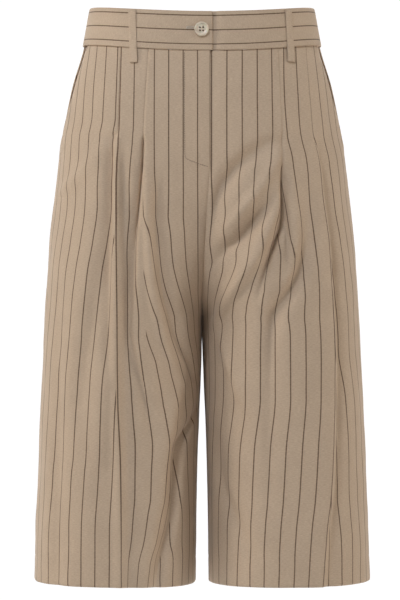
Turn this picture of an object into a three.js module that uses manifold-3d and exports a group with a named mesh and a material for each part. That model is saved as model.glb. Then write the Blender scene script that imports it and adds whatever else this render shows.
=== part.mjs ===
// Pleated bermuda shorts in striped suiting, filled out as they are worn, with nobody in them.
// Millimetres, +Z up, the front faces -Y. The origin is the centre of the waist, level with the
// waistband's top edge at the side seams. "Drop" is the height below that edge, and "out" is the
// distance from the middle of the body towards one leg's own side.
import * as THREE from "three";
import { mergeVertices } from "three/addons/utils/BufferGeometryUtils.js";
import Module from "manifold-3d";

// Driving sizes
const BAND_HEIGHT = 44;
const CLOTH_WALL = 1.2;
const BAND_WALL = 2.4; // outer band, interfacing and facing pressed together
const BAND_PROUD = 0.6; // how far the band stands in front of the panels sewn to it
const SEAM_GAP = 0.3;
const HEM_DEPTH = 28;
const LENGTH = 674;
const CROTCH_DROP = 366;

// The figure's form, one row for each section. The front and back each run from the side seam over a
// peak, where they reach furthest forward or back, to the inner edge: the middle seam above the
// crotch, and the inseam below it. inDrop is lower or higher than drop where the waist or hem slopes.
const STATION_COLUMNS = [
  "drop", "side", "frontPeak", "frontReach", "frontIn", "frontInDrop",
  "backPeak", "backReach", "backIn", "backInDrop", "gap",
];
const STATIONS = [
  [0, 130.6, 14, 94, 94, 10.5, 20, 92, 92, -6, 0],
  [44, 138.9, 16, 98.8, 98.8, 56, 24, 97.5, 97.5, 38, 0],
  [95, 153.7, 28, 107, 105.5, 104, 40, 109, 104, 91, 0],
  [166, 166.8, 46, 114, 110.5, 171, 58, 119, 108, 164, 0],
  [220, 173.3, 58, 117, 109, 223, 68, 121.5, 106, 219, 0],
  [273, 179.2, 70, 117.5, 99, 274, 78, 119.5, 97, 273, 0],
  [305, 181.5, 78, 117, 86, 305, 83, 117, 84, 305, 0],
  [330, 183.2, 84, 116, 67, 330, 87, 115.2, 67, 330, 0],
  [348, 184.3, 88, 115, 46, 345.5, 90, 113.8, 46, 345.5, 0],
  [362, 185, 91, 114, 25, 357, 92, 112.6, 25, 357, 0.1],
  [374, 185.6, 93, 113, 0, CROTCH_DROP, 94, 111.4, 0, CROTCH_DROP, 0.3],
  [392, 186.5, 95, 112, 0, 385, 95, 109.6, 0, 385, 1],
  [415, 187.5, 97, 110.5, 0, 411, 97, 107.4, 0, 411, 1.8],
  [450, 189.3, 99, 108, 0, 449, 98, 104.4, 0, 449, 3.2],
  [487, 191.1, 100, 106, 0, 487, 99, 101.8, 0, 487, 5],
  [558, 193.5, 101, 103, 0, 559, 100, 98.6, 0, 559, 7],
  [629, 196.4, 102.5, 101, 0, 631, 102, 96.8, 0, 631, 8.3],
  [LENGTH, 197.6, 103, 100, 0, 676, 103, 96, 0, 676, 8.6],
];

// The middle front seam and fly edge lean a little to the wearer's left of the body's middle.
const FRONT_SEAM = [ // drop, x
  [44, 9], [70, 8.7], [190, 8.4], [217, 6.6], [250, 5], [306, 1.6], [345, 0], [LENGTH, 0],
];

// Where each front's two pleats are pressed, from the waistband to the hem: drop, out
const PLEAT_LINES = {
  right: {
    outer: [[44, 93.5], [150, 96.5], [217, 101.5], [390, 101.5], [459, 99], [536, 94.5], [LENGTH, 91]],
    inner: [[44, 61.5], [159, 67], [214, 69.5], [267, 74], [344, 80.5], [375, 83], [405, 78],
      [459, 64], [497, 57], [LENGTH, 55]],
  },
  left: {
    outer: [[44, 120], [150, 127.5], [180, 133], [244, 146], [344, 152], [497, 153], [574, 148],
      [LENGTH, 140]],
    inner: [[44, 88], [160, 92.5], [214, 95], [240, 93.5], [267, 92], [310, 80], [330, 74],
      [382, 80], [LENGTH, 78]],
  },
};

// The largest folds. Each path row is drop, out, height: a valley's height is negative. sideWidth and
// midWidth are how far the fold spreads towards the side seam and towards the middle.
const FOLDS = [
  { leg: "right", name: "outer pleat hollow", sideWidth: 8, midWidth: 4,
    path: [[152, 98, 0], [183, 106, -5], [230, 109, -6], [300, 109.5, -5], [362, 107, 0]] },
  { leg: "right", name: "pressed front crease", sideWidth: 17, midWidth: 4,
    path: [[150, 96.5, 0], [190, 101, 3], [300, 102, 3.5], [390, 101.5, 3.5], [459, 99, 4],
      [536, 94.5, 4], [LENGTH, 91, 3.5]] },
  { leg: "right", name: "shade beside the crease", sideWidth: 6, midWidth: 11,
    path: [[190, 93, 0], [250, 92, -3.5], [330, 87, -4], [395, 84, 0]] },
  { leg: "right", name: "inner pleat hollow", sideWidth: 6, midWidth: 4,
    path: [[158, 67, 0], [176, 68, -4], [214, 69.5, -6.5], [267, 74, -6], [344, 80.5, -4],
      [375, 83, -3], [405, 78, -3.5], [459, 64, -4], [497, 57, -2.5], [530, 55, 0]] },
  { leg: "right", name: "ridge beside the inner pleat", sideWidth: 7, midWidth: 10,
    path: [[166, 62, 0], [240, 61, 3], [290, 59, 4], [344, 56, 4], [382, 48, 4], [421, 34, 3],
      [455, 20, 0]] },
  { leg: "right", name: "drag line to the inner thigh", sideWidth: 10, midWidth: 13,
    path: [[200, 54, 0], [244, 48.5, -5], [286, 48, -8], [344, 40.5, -9], [382, 29, -8],
      [413, 15, -4], [432, 8, 0]] },
  { leg: "right", name: "knee valley", sideWidth: 9, midWidth: 15,
    path: [[465, 8, 0], [495, 14, -5], [536, 23, -9], [574, 33.5, -9], [612, 41, -8.5],
      [LENGTH, 50, -8]] },
  { leg: "right", name: "knee ridge", sideWidth: 13, midWidth: 8,
    path: [[430, 24, 0], [465, 34, 3.5], [500, 42, 5], [540, 44, 4], [590, 55, 3], [LENGTH, 66, 2]] },
  { leg: "right", name: "outer thigh valley", sideWidth: 13, midWidth: 12,
    path: [[225, 113, 0], [300, 118, -3.5], [370, 126, -4.5], [440, 138, -4], [510, 141, 0]] },
  { leg: "right", name: "outer knee ridge", sideWidth: 10, midWidth: 9,
    path: [[400, 107, 0], [430, 110, 2.5], [479, 117, 3.5], [528, 119, 3], [545, 119, 0]] },
  { leg: "right", name: "hip drag ridge", sideWidth: 8, midWidth: 8,
    path: [[154, 98, 0], [166, 108, 3], [197, 138, 3.5], [213, 158, 2], [220, 168, 0]] },
  { leg: "right", name: "side flute", sideWidth: 9, midWidth: 10,
    path: [[300, 163, 0], [400, 166, -3], [520, 168, -4], [LENGTH, 170, -4]] },
  { leg: "left", name: "upper fly drag valley", sideWidth: 8, midWidth: 8,
    path: [[158, 98, 0], [166, 78, -4], [186, 52, -7], [206, 35.5, -7], [237, 20.5, -5],
      [262, 12, -2], [285, 8, 0]] },
  { leg: "left", name: "upper fly drag ridge", sideWidth: 7, midWidth: 7,
    path: [[165, 90, 0], [180, 81, 3], [206, 67, 4], [244, 35.5, 4], [275, 13, 0]] },
  { leg: "left", name: "lower fly drag valley", sideWidth: 8, midWidth: 9,
    path: [[206, 88, 0], [222, 79, -4], [240, 66.5, -6], [267, 43.5, -7], [286, 20.5, -5],
      [308, 8, 0]] },
  { leg: "left", name: "pleat to crotch ridge", sideWidth: 9, midWidth: 11,
    path: [[205, 91, 0], [230, 83, 4], [260, 70, 6], [306, 51.5, 6], [336, 29, 4], [362, 10, 0]] },
  { leg: "left", name: "inner pleat hollow", sideWidth: 9, midWidth: 6,
    path: [[158, 92, 0], [190, 93, -2], [214, 95, -6], [240, 93.5, -9], [267, 92, -9],
      [310, 80, -7], [330, 73, -4], [350, 69, 0]] },
  { leg: "left", name: "ridge beside the inner pleat", sideWidth: 9, midWidth: 8,
    path: [[190, 103, 0], [229, 109, 4], [267, 110.5, 5], [306, 105, 5], [330, 94, 4], [350, 82, 0]] },
  { leg: "left", name: "thigh drag valley", sideWidth: 11, midWidth: 10,
    path: [[185, 134, 0], [248, 132, -3], [290, 124, -6], [333, 109.5, -8], [364, 93, -7],
      [385, 81, -4], [479, 78, -2.5], [560, 78, -2], [600, 78, 0]] },
  { leg: "left", name: "pressed outer crease", sideWidth: 4, midWidth: 20,
    path: [[150, 127.5, 0], [180, 133, 2.5], [244, 146, 4], [344, 152, 4.5], [497, 153, 4.5],
      [574, 148, 4], [LENGTH, 140, 3.5]] },
  { leg: "left", name: "outer pleat hollow", sideWidth: 9, midWidth: 5,
    path: [[152, 131, 0], [190, 141, -3.5], [244, 156, -5], [344, 163, -4], [497, 165, -3.5],
      [LENGTH, 154, -3]] },
  { leg: "left", name: "knee valley", sideWidth: 8, midWidth: 10,
    path: [[450, 11, 0], [490, 14, -4], [536, 20.5, -7], [585, 36, -7], [635, 63, -5],
      [LENGTH, 76, -1]] },
  { leg: "left", name: "inner thigh ridge", sideWidth: 12, midWidth: 8,
    path: [[372, 17, 0], [400, 26, 3.5], [440, 40, 4], [480, 54, 0]] },
];
// The back hangs from the seat in a few long, soft folds, alike on both legs.
const BACK_FOLDS = [
  { name: "dart hollow", sideWidth: 9, midWidth: 9,
    path: [[44, 66, 0], [110, 68, -1.5], [170, 72, 0]] },
  { name: "seat drag valley", sideWidth: 15, midWidth: 14,
    path: [[285, 40, 0], [330, 62, -5], [370, 92, -5], [420, 118, 0]] },
  { name: "back leg ridge", sideWidth: 18, midWidth: 16,
    path: [[360, 78, 0], [450, 84, 5], [560, 92, 5], [LENGTH, 96, 4]] },
  { name: "back inner valley", sideWidth: 13, midWidth: 14,
    path: [[400, 36, 0], [480, 44, -5], [580, 54, -6], [LENGTH, 60, -5]] },
  { name: "back outer valley", sideWidth: 14, midWidth: 13,
    path: [[330, 146, 0], [440, 138, -4], [560, 134, -5], [LENGTH, 136, -5]] },
];
const BACK_SPREAD = { right: 0, left: 7 }; // the folds don't fall at the same place on both legs
const EDGE_CALM = 12; // folds die out this far from the seams at the panel's edges
const INNER_ROUND = { right: 2.6, left: 2.1 }; // how squarely each leg turns in at the inner thigh
const SIDE_ROUND = 2.2;

// Slanted side pockets: how far the mouth's edge lies in front of the side seam at each drop.
const POCKET_MOUTH = [[44, 36], [100, 33], [136, 23], [150, 13], [164, 1.5], [182, 0]];
// The fly's underlap, in columns of the front it runs behind and of the front it is caught on
const UNDERLAP = { reach: 4, caught: 1, rows: 8, behind: 1.8 };

// Waistband ends, measured across from the body's middle
const BAND_LAP_END = 12;
const BAND_UNDERLAP_END = -18;

// Belt loops: where they sit and how they are folded
const LOOP = { width: 8.4, height: 3.8, strap: 1.3, foot: 5.5, length: 59.5, clear: 0.5 };
const LOOPS = [
  { name: "belt_loop_front_right", leg: "right", half: "front", top: 79.5, bottom: 78 },
  { name: "belt_loop_front_left", leg: "left", half: "front", top: 98, bottom: 102 },
  { name: "belt_loop_side_right", leg: "right", half: "back", top: 92, bottom: 95 },
  { name: "belt_loop_side_left", leg: "left", half: "back", top: 92, bottom: 95 },
  { name: "belt_loop_back", leg: "left", half: "back", top: 1, bottom: 1 },
];

const BUTTON = { radius: 8.6, thickness: 3, dish: 5.6, hole: 1, holeAt: 2, holeSides: 8, out: 0.6, drop: 21 };

const COLOURS = { cloth: 0xb8a488, band: 0xb39d80, button: 0xcdbd9f };

const LEG_SIGN = { right: -1, left: 1 };

// A monotone cubic through [at, value] pairs, flat beyond both ends.
function smooth(pairs) {
  const step = (i) => (pairs[i + 1][1] - pairs[i][1]) / (pairs[i + 1][0] - pairs[i][0]);
  const last = pairs.length - 1;
  const slopes = pairs.map((_, i) => {
    if (i === 0 || i === last) return step(i === 0 ? 0 : last - 1);
    const [a, b] = [step(i - 1), step(i)];
    return a * b <= 0 ? 0 : (2 * a * b) / (a + b);
  });
  return (at) => {
    const here = Math.min(Math.max(at, pairs[0][0]), pairs[last][0]);
    let i = 0;
    while (i < last - 1 && here > pairs[i + 1][0]) i += 1;
    const span = pairs[i + 1][0] - pairs[i][0];
    const t = (here - pairs[i][0]) / span;
    const [t2, t3] = [t * t, t * t * t];
    return (2 * t3 - 3 * t2 + 1) * pairs[i][1] + (t3 - 2 * t2 + t) * span * slopes[i]
      + (3 * t2 - 2 * t3) * pairs[i + 1][1] + (t3 - t2) * span * slopes[i + 1];
  };
}

const fade = (t) => {
  const s = Math.min(Math.max(t, 0), 1);
  return s * s * (3 - 2 * s);
};

const stationCurves = Object.fromEntries(STATION_COLUMNS.slice(1).map((column, i) => [
  column, smooth(STATIONS.map((row) => [row[0], row[i + 1]])),
]));
const frontSeam = smooth(FRONT_SEAM);
const pocketMouth = smooth(POCKET_MOUTH);

const prepareFold = ({ sideWidth, midWidth, path }, shift = 0) => ({
  sideWidth,
  midWidth,
  top: path[0][0],
  bottom: path[path.length - 1][0],
  out: smooth(path.map(([drop, out]) => [drop, out + shift])),
  height: smooth(path.map(([drop, , height]) => [drop, height])),
});
const foldsOf = {};
for (const leg of ["right", "left"]) {
  foldsOf[leg] = {
    front: FOLDS.filter((fold) => fold.leg === leg).map((fold) => prepareFold(fold)),
    back: BACK_FOLDS.map((fold) => prepareFold(fold, BACK_SPREAD[leg])),
  };
}

// One half of a section, from the side seam to the inner edge: points, the way along them, and the
// level direction that faces out of the body. Each leg is a tube that the middle seam cuts off above
// the crotch, where the tube's depth is the row's "in" depth. innerOut moves the inner edge.
const QUARTER_STEPS = 80;
const FLATTEST = 0.995;
function section(leg, half, drop, innerOut) {
  const s = (column) => stationCurves[column](drop);
  const facing = half === "front" ? -1 : 1;
  const [peak, reach, inReach, inDrop] = ["Peak", "Reach", "In", "InDrop"].map((c) => s(half + c));
  const seam = half === "front" ? LEG_SIGN[leg] * frontSeam(drop) : 0;
  const ownInner = seam + s("gap") + SEAM_GAP / 2;
  const otherInner = -seam + s("gap") + SEAM_GAP / 2;
  const round = INNER_ROUND[leg];
  const cutDepth = Math.min(Math.max(inReach, SEAM_GAP / 2) / reach, FLATTEST);
  const cutWidth = (1 - cutDepth ** round) ** (1 / round);
  const cutAngle = Math.acos(cutWidth ** (round / 2));
  const tube = (peak - (innerOut ?? ownInner)) / cutWidth;
  const points = [];
  for (let i = 0; i <= 2 * QUARTER_STEPS; i += 1) {
    const outside = i <= QUARTER_STEPS;
    const angle = outside ? (Math.PI / 2) * (i / QUARTER_STEPS)
      : cutAngle + (Math.PI / 2 - cutAngle) * (2 - i / QUARTER_STEPS);
    const power = 2 / (outside ? SIDE_ROUND : round);
    const across = Math.cos(angle) ** power;
    const ahead = Math.sin(angle) ** power;
    const out = outside ? peak + (s("side") - peak) * across : peak - tube * across;
    const start = outside ? SEAM_GAP / 2 : 0;
    const share = out >= ownInner ? (s("side") - out) / (s("side") - ownInner)
      : (s("side") + out) / (s("side") - otherInner);
    points.push({ out, y: facing * (start + (reach - start) * ahead), drop: drop + (inDrop - drop) * share });
  }
  const along = [0];
  for (let i = 1; i < points.length; i += 1) {
    const [a, b] = [points[i - 1], points[i]];
    along.push(along[i - 1] + Math.hypot(b.out - a.out, b.y - a.y, b.drop - a.drop));
  }
  return { points, along, facing };
}

// The point a given way along a section, with the direction that faces out there.
function alongSection({ points, along, facing }, way) {
  const here = Math.min(Math.max(way, 0), along[along.length - 1]);
  let i = 0;
  while (i < along.length - 2 && along[i + 1] < here) i += 1;
  const [a, b] = [points[i], points[i + 1]];
  const t = (here - along[i]) / (along[i + 1] - along[i]);
  const mix = (key) => a[key] + (b[key] - a[key]) * t;
  const size = Math.hypot(b.out - a.out, b.y - a.y);
  const normal = { out: (facing * (b.y - a.y)) / size, y: (-facing * (b.out - a.out)) / size };
  return { out: mix("out"), y: mix("y"), drop: mix("drop"), normal };
}

// The way along a section at which it is a given distance out from the middle.
function wayAtOut({ points, along }, out) {
  const i = points.findIndex((point) => point.out <= out);
  if (i <= 0) return i < 0 ? along[along.length - 1] : 0;
  const [a, b] = [points[i - 1], points[i]];
  return along[i - 1] + ((a.out - out) / (a.out - b.out)) * (along[i] - along[i - 1]);
}

// How far the folds lift or sink the cloth at a point of a section.
function foldHeight(folds, point) {
  const facing = Math.max(0.3, Math.abs(point.normal.y));
  return folds.reduce((sum, fold) => {
    if (point.drop <= fold.top || point.drop > fold.bottom + 8) return sum;
    const lean = (fold.out(point.drop + 1) - fold.out(point.drop - 1)) / 2;
    const away = (point.out - fold.out(point.drop)) / facing / Math.hypot(1, lean);
    const width = away > 0 ? fold.sideWidth : fold.midWidth;
    return sum + fold.height(point.drop) * Math.exp(-((away / width) ** 2));
  }, 0);
}

// The outer points of a piece: a row for each level and a column for each way that waysOf gives.
function surface(leg, half, levels, waysOf, { innerOut, lift = () => 0, folded = true } = {}) {
  const folds = folded ? foldsOf[leg][half] : [];
  return levels.map((drop) => {
    const around = section(leg, half, drop, innerOut);
    const whole = around.along[around.along.length - 1];
    return waysOf(around, drop).map((way) => {
      const point = alongSection(around, way);
      const calm = fade(way / EDGE_CALM) * fade((whole - way) / EDGE_CALM);
      const height = foldHeight(folds, point) * calm + lift(point);
      const out = point.out + point.normal.out * height;
      return new THREE.Vector3(LEG_SIGN[leg] * out, point.y + point.normal.y * height, -point.drop);
    });
  });
}

// The direction each point of a grid faces. keepOff leaves out the part across a seam, at an edge.
function facings(grid, keepOff) {
  const centre = new THREE.Vector3();
  grid.flat().forEach((p) => centre.add(p));
  centre.divideScalar(grid.flat().length);
  const rows = grid.length;
  const cols = grid[0].length;
  const made = grid.map((row, r) => row.map((_, c) => {
    const across = grid[r][Math.min(c + 1, cols - 1)].clone().sub(grid[r][Math.max(c - 1, 0)]);
    const down = grid[Math.min(r + 1, rows - 1)][c].clone().sub(grid[Math.max(r - 1, 0)][c]);
    return across.cross(down).normalize();
  }));
  const middle = made[rows >> 1][cols >> 1];
  const outward = middle.dot(new THREE.Vector3(0, grid[rows >> 1][cols >> 1].y, 0)) > 0 ? 1 : -1;
  return made.map((row, r) => row.map((normal, c) => {
    normal.multiplyScalar(outward);
    keepOff?.(normal, r, c);
    return normal.normalize();
  }));
}

// A closed wall behind a grid of outer points.
function wall(grid, thickness, keepOff) {
  const rows = grid.length;
  const cols = grid[0].length;
  const normals = facings(grid, keepOff);
  const deep = typeof thickness === "function" ? thickness : () => thickness;
  const behind = grid.map((row, r) => row.map((p, c) => p.clone().addScaledVector(normals[r][c], -deep(r, c))));
  const positions = [...grid.flat(), ...behind.flat()].flatMap((p) => [p.x, p.y, p.z]);
  const at = (r, c, layer) => layer * rows * cols + r * cols + c;
  const index = [];
  const quad = (a, b, c, d) => index.push(a, b, c, a, c, d);
  for (let r = 0; r < rows - 1; r += 1) {
    for (let c = 0; c < cols - 1; c += 1) {
      quad(at(r, c, 0), at(r, c + 1, 0), at(r + 1, c + 1, 0), at(r + 1, c, 0));
      quad(at(r, c, 1), at(r + 1, c, 1), at(r + 1, c + 1, 1), at(r, c + 1, 1));
    }
  }
  for (let c = 0; c < cols - 1; c += 1) {
    quad(at(0, c, 1), at(0, c + 1, 1), at(0, c + 1, 0), at(0, c, 0));
    quad(at(rows - 1, c, 0), at(rows - 1, c + 1, 0), at(rows - 1, c + 1, 1), at(rows - 1, c, 1));
  }
  for (let r = 0; r < rows - 1; r += 1) {
    quad(at(r, 0, 0), at(r + 1, 0, 0), at(r + 1, 0, 1), at(r, 0, 1));
    quad(at(r, cols - 1, 1), at(r + 1, cols - 1, 1), at(r + 1, cols - 1, 0), at(r, cols - 1, 0));
  }
  return facingOut(new THREE.BufferGeometry()
    .setAttribute("position", new THREE.Float32BufferAttribute(positions, 3)).setIndex(index));
}

// Turns a closed geometry's faces round if they point inwards.
function facingOut(geometry) {
  const p = geometry.getAttribute("position");
  const index = Array.from(geometry.index.array);
  const corner = (i) => new THREE.Vector3().fromBufferAttribute(p, index[i]);
  let volume = 0;
  for (let i = 0; i < index.length; i += 3) volume += corner(i).dot(corner(i + 1).cross(corner(i + 2)));
  if (volume < 0) {
    for (let i = 0; i < index.length; i += 3) [index[i], index[i + 1]] = [index[i + 1], index[i]];
  }
  return geometry.setIndex(index);
}

const piece = (name, geometry, colour, roughness = 0.85) => {
  const mesh = new THREE.Mesh(geometry, new THREE.MeshStandardMaterial({ color: colour, roughness, metalness: 0 }));
  mesh.name = name;
  return mesh;
};

// Levels of the panels: closer together round the crotch and at the hem's fold.
const PANEL_LEVELS = [
  BAND_HEIGHT + SEAM_GAP / 2, 66, 90, 114, 136, 150, 164, 182, 202, 222, 242, 262, 283, 305, 330, 348,
  362, 374, 392, 415, 438, 462, 487, 512, 537, 562, 590, 618, LENGTH - HEM_DEPTH - 2,
  LENGTH - HEM_DEPTH, LENGTH,
];
const POCKET_ROWS = PANEL_LEVELS.indexOf(164) + 1;
const CROTCH_ROW = PANEL_LEVELS.indexOf(374);
const HEM_ROW = PANEL_LEVELS.indexOf(LENGTH - HEM_DEPTH);

// At the edges a wall's inner points stay on their own side of the seam.
function offSeams(lastColumn) {
  return (normal, r, c) => {
    if (r === 0) normal.z = 0;
    if (c === 0) normal.y = 0;
    if (c !== lastColumn) return;
    if (r <= CROTCH_ROW) normal.x = 0;
    if (r >= CROTCH_ROW) normal.y = 0;
    if (r === CROTCH_ROW) normal.z = -1;
  };
}
const panelThickness = (r) => (r >= HEM_ROW ? 2 * CLOTH_WALL : CLOTH_WALL);

const FRONT_STEPS = {
  outer: [0, 0.14, 0.3, 0.46, 0.62, 0.78, 0.9, 0.96],
  between: [0, 0.1, 0.3, 0.55, 0.78, 0.92],
  inner: [0, 0.04, 0.11, 0.2, 0.3, 0.4, 0.51, 0.63, 0.76, 0.89, 1],
};

// The front's columns run along its pleats, from the pocket's mouth to the middle.
function frontWays(leg) {
  const lines = { outer: smooth(PLEAT_LINES[leg].outer), inner: smooth(PLEAT_LINES[leg].inner) };
  return (around, drop) => {
    const marks = [pocketMouth(drop), wayAtOut(around, lines.outer(drop)), wayAtOut(around, lines.inner(drop)),
      around.along[around.along.length - 1]];
    return Object.values(FRONT_STEPS).flatMap((steps, i) => steps.map((t) => marks[i] + (marks[i + 1] - marks[i]) * t));
  };
}

function frontPanel(leg) {
  const grid = surface(leg, "front", PANEL_LEVELS, frontWays(leg));
  return piece(`front_${leg}`, wall(grid, panelThickness, offSeams(grid[0].length - 1)), COLOURS.cloth);
}

const BACK_STEPS = 16;
function backPanel(leg) {
  const ways = (around) => Array.from({ length: BACK_STEPS + 1 },
    (_, i) => (around.along[around.along.length - 1] * i) / BACK_STEPS);
  const grid = surface(leg, "back", PANEL_LEVELS, ways);
  return piece(`back_${leg}`, wall(grid, panelThickness, offSeams(BACK_STEPS)), COLOURS.cloth);
}

// The side piece that shows in the slanted pocket mouth and runs on one wall behind the front. Its
// columns under the front are the front's own, moved in.
const MOUTH_STEPS = [0, 0.25, 0.5, 0.75];
function pocketSide(leg) {
  const front = frontWays(leg);
  const ways = (around, drop) => {
    const under = front(around, drop).slice(0, 3);
    return [...MOUTH_STEPS.map((t) => t * under[0]), ...under];
  };
  const lift = () => -(CLOTH_WALL + 1.5 * SEAM_GAP);
  const grid = surface(leg, "front", PANEL_LEVELS.slice(0, POCKET_ROWS), ways, { lift });
  return piece(`pocket_side_${leg}`, wall(grid, CLOTH_WALL, (normal, r, c) => { if (c === 0) normal.y = 0; }),
    COLOURS.cloth);
}

// The fly's underlap, sewn to the wearer's left front and lying behind the right one. Its points are
// the panels' own, moved back.
function flyUnderlap() {
  const levels = PANEL_LEVELS.slice(0, UNDERLAP.rows);
  const columns = (leg, from, to) => surface(leg, "front", levels,
    (around, drop) => frontWays(leg)(around, drop).slice(from, to));
  const caught = columns("left", -UNDERLAP.caught - 1, -1);
  const behind = columns("right", -UNDERLAP.reach);
  const grid = caught.map((row, r) => [...row, ...behind[r].reverse()]);
  grid.flat().forEach((p) => { p.y += UNDERLAP.behind; });
  return piece("fly_underlap", wall(grid, CLOTH_WALL), COLOURS.cloth);
}

// Half of the waistband, from the middle back round the side to its front end.
const BAND_LEVELS = [0, 15, 30, BAND_HEIGHT - SEAM_GAP / 2];
const BAND_STEPS = 13;
function waistband(leg) {
  const end = leg === "right" ? -BAND_LAP_END : BAND_UNDERLAP_END;
  // The left end dips behind the right one where they lap.
  const tuck = (point) => (leg === "left" ? -(BAND_WALL + 2.5 * SEAM_GAP) * fade((BAND_LAP_END + 12 - point.out) / 10) : 0);
  const lift = (point) => BAND_PROUD + tuck(point);
  const evenly = (around) => Array.from({ length: BAND_STEPS + 1 },
    (_, i) => (around.along[around.along.length - 1] * i) / BAND_STEPS);
  const front = surface(leg, "front", BAND_LEVELS, evenly, { folded: false, lift, innerOut: end });
  const back = surface(leg, "back", BAND_LEVELS, evenly, { folded: false, lift: () => BAND_PROUD });
  const grid = front.map((row, r) => [...back[r].slice(1).reverse(), ...row.slice(1)]);
  const lastColumn = grid[0].length - 1;
  return piece(`waistband_${leg}`, bandWall(grid, lastColumn), COLOURS.band);
}

// The band's walls are level, so that its lower edge keeps clear of the panels.
function bandWall(grid, lastColumn) {
  return wall(grid, BAND_WALL, (normal, r, c) => {
    const p = grid[r][c];
    if (normal.x * p.x + normal.y * p.y < 0) normal.negate();
    normal.z = 0;
    if (c === 0) normal.x = 0;
    if (c === lastColumn) normal.x *= 0.1;
  });
}

// A belt loop: a strap folded under at both ends, bent to follow the band and the panel.
const LOOP_STATIONS = [14, 24, 34, 44];
function beltLoop({ name, leg, half, top, bottom }) {
  const { width, height, strap, foot, length, clear } = LOOP;
  const start = 0.5;
  const end = start + length;
  const outline = [
    [start, height - 0.8], [start + 1.5, height], ...LOOP_STATIONS.map((drop) => [drop, height]),
    [end - 1.5, height], [end, height - 0.8], [end, clear], [end - foot, clear],
    [end - foot - 0.8, height - strap], ...LOOP_STATIONS.slice().reverse().map((drop) => [drop, height - strap]),
    [start + foot + 0.8, height - strap], [start + foot, clear], [start, clear],
  ];
  const shape = new THREE.Shape(outline.map(([drop, stand]) => new THREE.Vector2(drop, stand)));
  const flat = new THREE.ExtrudeGeometry(shape, { depth: width, bevelEnabled: false });
  flat.deleteAttribute("normal");
  flat.deleteAttribute("uv");
  const geometry = mergeVertices(flat, 1e-4);
  const p = geometry.getAttribute("position");
  for (let i = 0; i < p.count; i += 1) {
    const [drop, stand, side] = [p.getX(i), p.getY(i), p.getZ(i) - width / 2];
    const around = section(leg, half, drop, half === "back" && top < width ? -width : undefined);
    const place = alongSection(around, wayAtOut(around, top + (bottom - top) * (drop / length)));
    const off = stand + BAND_PROUD * (1 - fade((drop - BAND_HEIGHT + 1) / 4));
    const out = place.out + place.normal.out * off + place.normal.y * side;
    const y = place.y + place.normal.y * off - place.normal.out * side;
    p.setXYZ(i, LEG_SIGN[leg] * out, y, -place.drop);
  }
  return piece(name, facingOut(geometry), COLOURS.band);
}

// Manifold solids, for the button's holes
const wasm = await Module();
wasm.setup();
function solid(geometry) {
  const bare = (geometry.index ? geometry.toNonIndexed() : geometry.clone());
  bare.deleteAttribute("normal");
  bare.deleteAttribute("uv");
  const merged = mergeVertices(bare, 1e-4);
  return new wasm.Manifold(new wasm.Mesh({
    numProp: 3,
    vertProperties: merged.attributes.position.array,
    triVerts: new Uint32Array(merged.index.array),
  }));
}
function geometryOf(made) {
  const mesh = made.getMesh();
  return new THREE.BufferGeometry()
    .setAttribute("position", new THREE.BufferAttribute(mesh.vertProperties, 3))
    .setIndex(new THREE.BufferAttribute(mesh.triVerts, 1));
}

// A four-hole trouser button with a raised rim and a shallow dish, lying on the band over the fly.
function button() {
  const { radius, thickness, dish, hole, holeAt, holeSides } = BUTTON;
  const profile = [
    [0, 0], [radius - 1.4, 0], [radius - 0.3, 0.8], [radius, 1.5], [radius - 0.5, thickness - 0.5],
    [radius - 1.4, thickness], [dish + 0.8, thickness - 0.1], [dish, thickness - 0.9], [0, thickness - 0.9],
  ].map(([x, y]) => new THREE.Vector2(x, y));
  let body = solid(new THREE.LatheGeometry(profile, 28));
  for (const x of [-holeAt, holeAt]) {
    for (const z of [-holeAt, holeAt]) {
      const pin = new THREE.CylinderGeometry(hole, hole, 3 * thickness, holeSides).translate(x, thickness / 2, z);
      body = body.subtract(solid(pin));
    }
  }
  const around = section("right", "front", BUTTON.drop, -BAND_LAP_END);
  const place = alongSection(around, wayAtOut(around, BUTTON.out));
  const mesh = piece("button", geometryOf(body), COLOURS.button, 0.35);
  const outward = new THREE.Vector3(-place.normal.out, place.normal.y, 0.1).normalize();
  mesh.quaternion.setFromUnitVectors(new THREE.Vector3(0, 1, 0), outward);
  mesh.position.set(-place.out, place.y, -place.drop).addScaledVector(outward, BAND_PROUD + 2.5 * SEAM_GAP);
  return mesh;
}

const shorts = new THREE.Group();
for (const leg of ["right", "left"]) {
  shorts.add(frontPanel(leg), backPanel(leg), pocketSide(leg), waistband(leg));
}
shorts.add(flyUnderlap(), button(), ...LOOPS.map(beltLoop));

export default shorts;
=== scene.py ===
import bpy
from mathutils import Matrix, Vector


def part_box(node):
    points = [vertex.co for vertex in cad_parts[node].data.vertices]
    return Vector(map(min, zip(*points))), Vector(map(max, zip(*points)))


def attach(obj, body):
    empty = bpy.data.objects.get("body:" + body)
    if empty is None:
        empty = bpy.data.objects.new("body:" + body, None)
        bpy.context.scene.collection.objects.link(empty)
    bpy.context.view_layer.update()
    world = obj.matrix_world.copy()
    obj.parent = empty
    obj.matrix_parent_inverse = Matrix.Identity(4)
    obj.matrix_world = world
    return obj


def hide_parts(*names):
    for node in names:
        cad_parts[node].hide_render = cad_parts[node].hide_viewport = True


bl_info = {
    "name": "Pleated Bermuda Shorts",
    "version": (1, 0, 0),
    "blender": (4, 5, 0),
    "location": "3D View > Sidebar > Shorts",
    "description": "Dresses the packed shorts in striped suiting, with their folds, seams and trimmings",
    "category": "Object",
}

import math
from functools import partial

import bmesh
import bpy
import numpy as np
from bpy.props import FloatProperty, FloatVectorProperty, PointerProperty
from mathutils import Vector
from mathutils.bvhtree import BVHTree

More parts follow.
